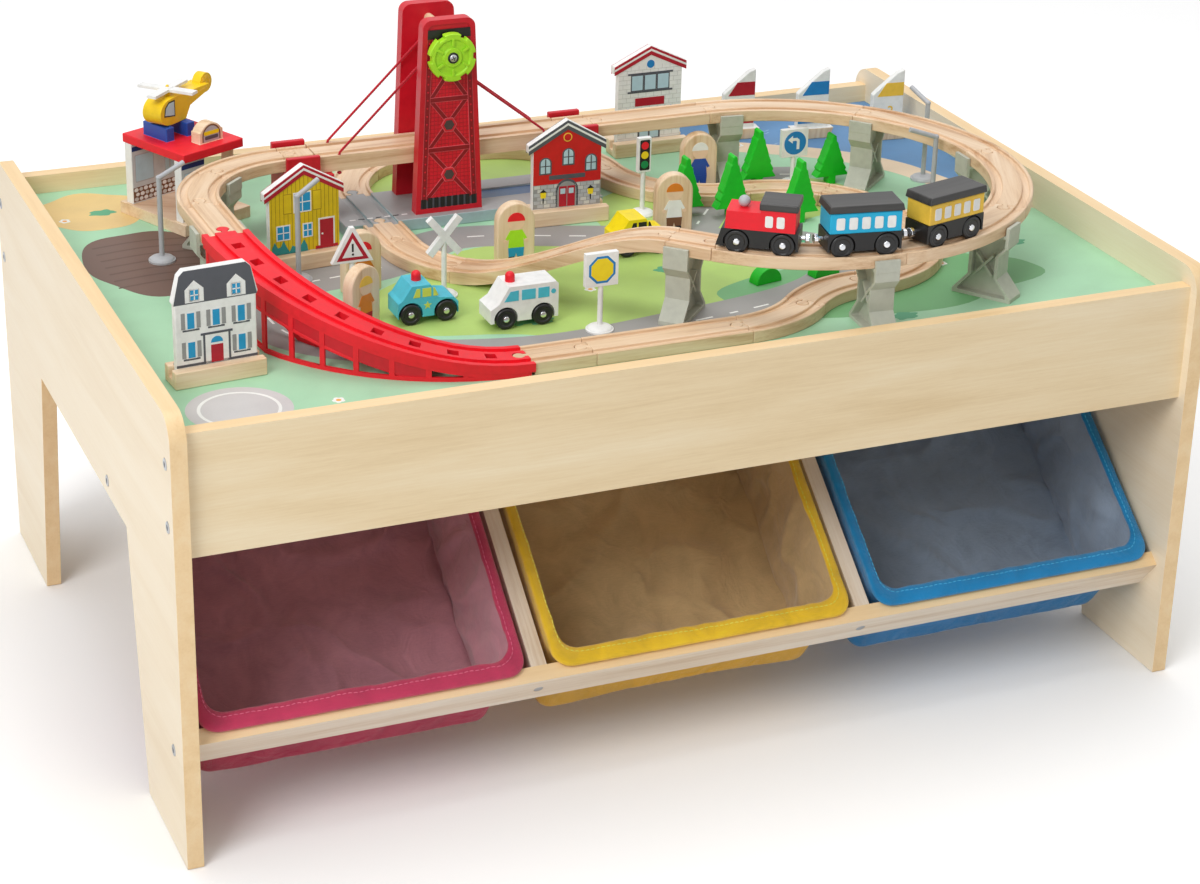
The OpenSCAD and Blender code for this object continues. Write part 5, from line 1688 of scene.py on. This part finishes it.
PRINTS = {
    "mint": (168, 214, 178), "grass": (178, 208, 116), "road": (158, 156, 154), "line": (240, 240, 236),
    "water": (98, 144, 190), "sand": (234, 212, 184), "straw": (230, 200, 138), "soil": (112, 88, 78),
    "furrow": (94, 72, 62), "pad": (206, 203, 202), "bush": (92, 168, 128), "ripple": (140, 178, 212),
    "petal": (240, 168, 84), "leaf": (118, 176, 122),
}
INKS = {}
PRINT_X = 484.5
PRINT_Y = 319.5
PAD = (-418, -262)


def ink(name):
    """The board's ink of a name."""
    if name not in INKS:
        INKS[name] = printed("ink_" + name, PRINTS[name])
    return INKS[name]


def blob(x, y, rx, ry, wobble, lobes, phase, steps=72):
    """A long round with a wavy edge."""
    out = []
    for k in range(steps):
        a = 2 * math.pi * k / steps
        r = 1 + wobble * math.sin(lobes * a + phase) + wobble * 0.5 * math.sin((lobes + 3) * a + phase * 2)
        out.append((x + rx * r * math.cos(a), y + ry * r * math.sin(a)))
    return out


def clip(outline):
    """Keeps an outline on the board."""
    return [(min(max(x, -PRINT_X), PRINT_X), min(max(y, -PRINT_Y), PRINT_Y)) for x, y in outline]


def smooth_line(points, steps=14, closed=False):
    """A smooth line through points."""
    count = len(points)
    out = []
    for i in range(count if closed else count - 1):
        near = [i + k if closed else min(max(i + k, 0), count - 1) for k in (-1, 0, 1, 2)]
        a, b, c, d = (Vector(points[k % count]) for k in near)
        for k in range(steps):
            t = k / steps
            curve = (2 * a - 5 * b + 4 * c - d) * t * t + (3 * b - a - 3 * c + d) * t ** 3
            out.append(0.5 * (2 * b + (c - a) * t + curve))
    if not closed:
        out.append(Vector(points[-1]))
    return out


class Print:
    """Flat inked shapes, each layer a hair above the one before."""

    def __init__(self):
        self.kit = Kit()

    def add(self, outline, name, layer):
        top = 0.03 + 0.014 * layer
        self.kit.flat(stand(0, 0, BOARD), clip(outline), 0.01, top, ink(name))

    def band(self, line, wide, name, layer, closed=False):
        """A strip of even width along a line."""
        count = len(line)
        for i in range(count if closed else count - 1):
            a, b = line[i], line[(i + 1) % count]
            quad = []
            for point, index in ((a, i), (b, (i + 1) % count)):
                ahead = line[(index + 1) % count] if closed else line[min(index + 1, count - 1)]
                behind = line[(index - 1) % count] if closed else line[max(index - 1, 0)]
                way = (ahead - behind).normalized()
                quad.append((point, Vector((-way.y, way.x)) * wide / 2))
            (p, m), (q, n) = quad
            self.add([tuple(p - m), tuple(q - n), tuple(q + n), tuple(p + m)], name, layer)

    def dashes(self, line, name, layer, length=16.0, gap=18.0, wide=2.4):
        """Short strokes along a line."""
        travel = 0.0
        for a, b in zip(line, line[1:]):
            if travel % (length + gap) < length:
                self.add(bar(a.x, a.y, b.x, b.y, wide), name, layer)
            travel += (b - a).length


SHORE = [(120, 330), (150, 262), (214, 236), (286, 196), (352, 150), (398, 92), (430, 10), (490, -60)]
RING_ROAD = [
    (-320, -20), (-200, 10), (-110, 60), (10, 26), (110, -16), (204, -54), (230, -104),
    (204, -158), (140, -192), (20, -214), (-120, -226), (-250, -190), (-330, -120),
]
BRANCH_ROAD = [(110, -16), (170, 60), (230, 130), (300, 120)]


def print_water(sheet):
    """A sandy shore, the water and its ripples."""
    shore = smooth_line(SHORE)
    for shift, name, layer in (((0, 0), "sand", 1), ((26, 22), "water", 2)):
        sheet.add([tuple(p + Vector(shift)) for p in shore] + [(490, 330)], name, layer)
    for k in range(14):
        x, y = 260 + (k * 53) % 210, 214 + (k * 37) % 96
        ripple = smooth_line([(x, y), (x + 6, y + 3), (x + 12, y), (x + 18, y + 3)], 5)
        sheet.band(ripple, 1.6, "ripple", 3)


def print_fields(sheet):
    """Meadows and a ploughed field."""
    for shape, name, layer in (
        ((-40, -96, 206, 118, 0.06, 4, 0.6), "grass", 1.2), ((180, 60, 150, 84, 0.07, 3, 2.0), "grass", 1.4),
        ((-60, 236, 150, 58, 0.05, 5, 1.1), "grass", 1.6), ((230, -190, 170, 70, 0.06, 5, 2.6), "leaf", 1.8),
        ((-400, 96, 66, 86, 0.05, 3, 0.2), "soil", 2.2), ((-424, 250, 62, 52, 0.06, 4, 1.4), "straw", 2.6),
    ):
        sheet.add(blob(*shape), name, layer)
    for k in range(7):
        y = 40 + 18 * k
        sheet.band(smooth_line([(-448, y), (-400, y + 6), (-352, y)], 8), 3.0, "furrow", 2.4)


def print_roads(sheet):
    """A ring road, a branch under it and a round pad."""
    ring = smooth_line(RING_ROAD, 14, True)
    sheet.band(ring, 58, "road", 4, True)
    sheet.dashes(ring, "line", 5)
    branch = smooth_line(BRANCH_ROAD, 12)
    sheet.band(branch, 46, "road", 3.6)
    sheet.dashes(branch, "line", 5)
    for r, name, layer in ((46, "pad", 3), (36, "line", 4), (33, "pad", 5)):
        sheet.add(disc(*PAD, r, 56), name, layer)


def make_print():
    dress("play_board", [ink("mint"), PINE], 0.3, lambda at, normal: 0 if normal.z > 0.7 else 1, (1, 0, 0))
    sheet = Print()
    print_water(sheet)
    print_fields(sheet)
    print_roads(sheet)
    for k in range(26):
        x = rng.uniform(-470, 470)
        y = rng.uniform(-310, 310)
        if k % 2:
            sheet.add(blob(x, y, 13, 8, 0.12, 5, k), "bush", 6 + 0.2 * k)
        else:
            flower(sheet, x, y, 6 + 0.2 * k)
    sheet.kit.put("board_print", "table", 0, slot="map")


def flower(sheet, x, y, layer):
    """A small flower with a round eye."""
    petals = []
    for k in range(40):
        a = 2 * math.pi * k / 40
        r = 4.4 + 1.5 * abs(math.sin(2.5 * a))
        petals.append((x + r * math.cos(a), y + r * math.sin(a)))
    sheet.add(petals, "line", layer)
    sheet.add(disc(x, y, 2.4, 14), "petal", layer + 0.1)


make_print()


# Stage, in metres

FLOOR_GLOW = 0.36
FLOOR_HALF = 30
FLOOR_DROP = 0.0005
WHITE = (1, 1, 1, 1)
SKY_LIGHT = 0.38
BACKDROP = 1.0
LAMP_AIM = Vector((0, 0, 0.3))


def seen_rays(tree):
    """1 for rays that show the stage: from the camera, in a reflection or through glass."""
    path = tree.nodes.new("ShaderNodeLightPath")
    last = path.outputs["Is Camera Ray"]
    for name in ("Is Transmission Ray", "Is Glossy Ray"):
        most = tree.nodes.new("ShaderNodeMath")
        most.operation = "MAXIMUM"
        tree.links.new(last, most.inputs[0])
        tree.links.new(path.outputs[name], most.inputs[1])
        last = most.outputs[0]
    return last


def floor_material():
    """A pale floor that shows as white out in the open and keeps the shadow under the table; its glow fades
    with ambient occlusion, which adds painted shade there.
    """
    s = Shader("floor", Roughness=0.9, Specular_IOR_Level=0.1, Emission_Color=WHITE)
    drift = s.noise(s.place(), 0.8, 2.0)
    s.link(s.ramp(drift, [(0.3, (0.9, 0.9, 0.9, 1)), (0.7, (0.92, 0.92, 0.92, 1))]), "Base Color")
    # Painted shade: the glow fades with ambient occlusion, darkening the floor under and near the table.
    painted_shade_ao = s.node("ShaderNodeAmbientOcclusion", Distance=0.8).outputs["AO"]
    glow = s.math("MULTIPLY", s.math("MULTIPLY", painted_shade_ao, painted_shade_ao), FLOOR_GLOW)
    s.link(s.math("MULTIPLY", seen_rays(s.tree), glow), "Emission Strength")
    return s.mat


def make_floor():
    bm = bmesh.new()
    bm.faces.new([bm.verts.new((x, y, 0)) for x, y in rect(-FLOOR_HALF, -FLOOR_HALF, FLOOR_HALF, FLOOR_HALF)])
    floor = new_object("floor", bm, [floor_material()])
    floor.location.z = -FLOOR_DROP


def make_world():
    """Soft light from all round, and a white backdrop."""
    world = bpy.data.worlds.new("studio")
    bpy.context.scene.world = world
    world.use_nodes = True
    tree = world.node_tree
    tree.nodes.clear()
    out = tree.nodes.new("ShaderNodeOutputWorld")
    mix = tree.nodes.new("ShaderNodeMixShader")
    tree.links.new(seen_rays(tree), mix.inputs["Fac"])
    for index, strength in ((1, SKY_LIGHT), (2, BACKDROP)):
        glow = tree.nodes.new("ShaderNodeBackground")
        glow.inputs["Color"].default_value = WHITE
        glow.inputs["Strength"].default_value = strength
        tree.links.new(glow.outputs[0], mix.inputs[index])
    tree.links.new(mix.outputs[0], out.inputs["Surface"])


def lamp(name, at, size, power):
    """A round area light, aimed at the table."""
    data = bpy.data.lights.new(name, "AREA")
    data.shape = "DISK"
    data.size = size
    data.energy = power
    obj = bpy.data.objects.new(name, data)
    obj.location = at
    aim = LAMP_AIM - Vector(at)
    obj.rotation_euler = aim.to_track_quat("-Z", "Y").to_euler()
    bpy.context.scene.collection.objects.link(obj)


bpy.context.scene.view_settings.view_transform = "Standard"
make_floor()
make_world()
lamp("key", (-2.9, -2.2, 3.2), 2.4, 104)
lamp("top", (0.2, 0.4, 3.8), 3.0, 56)
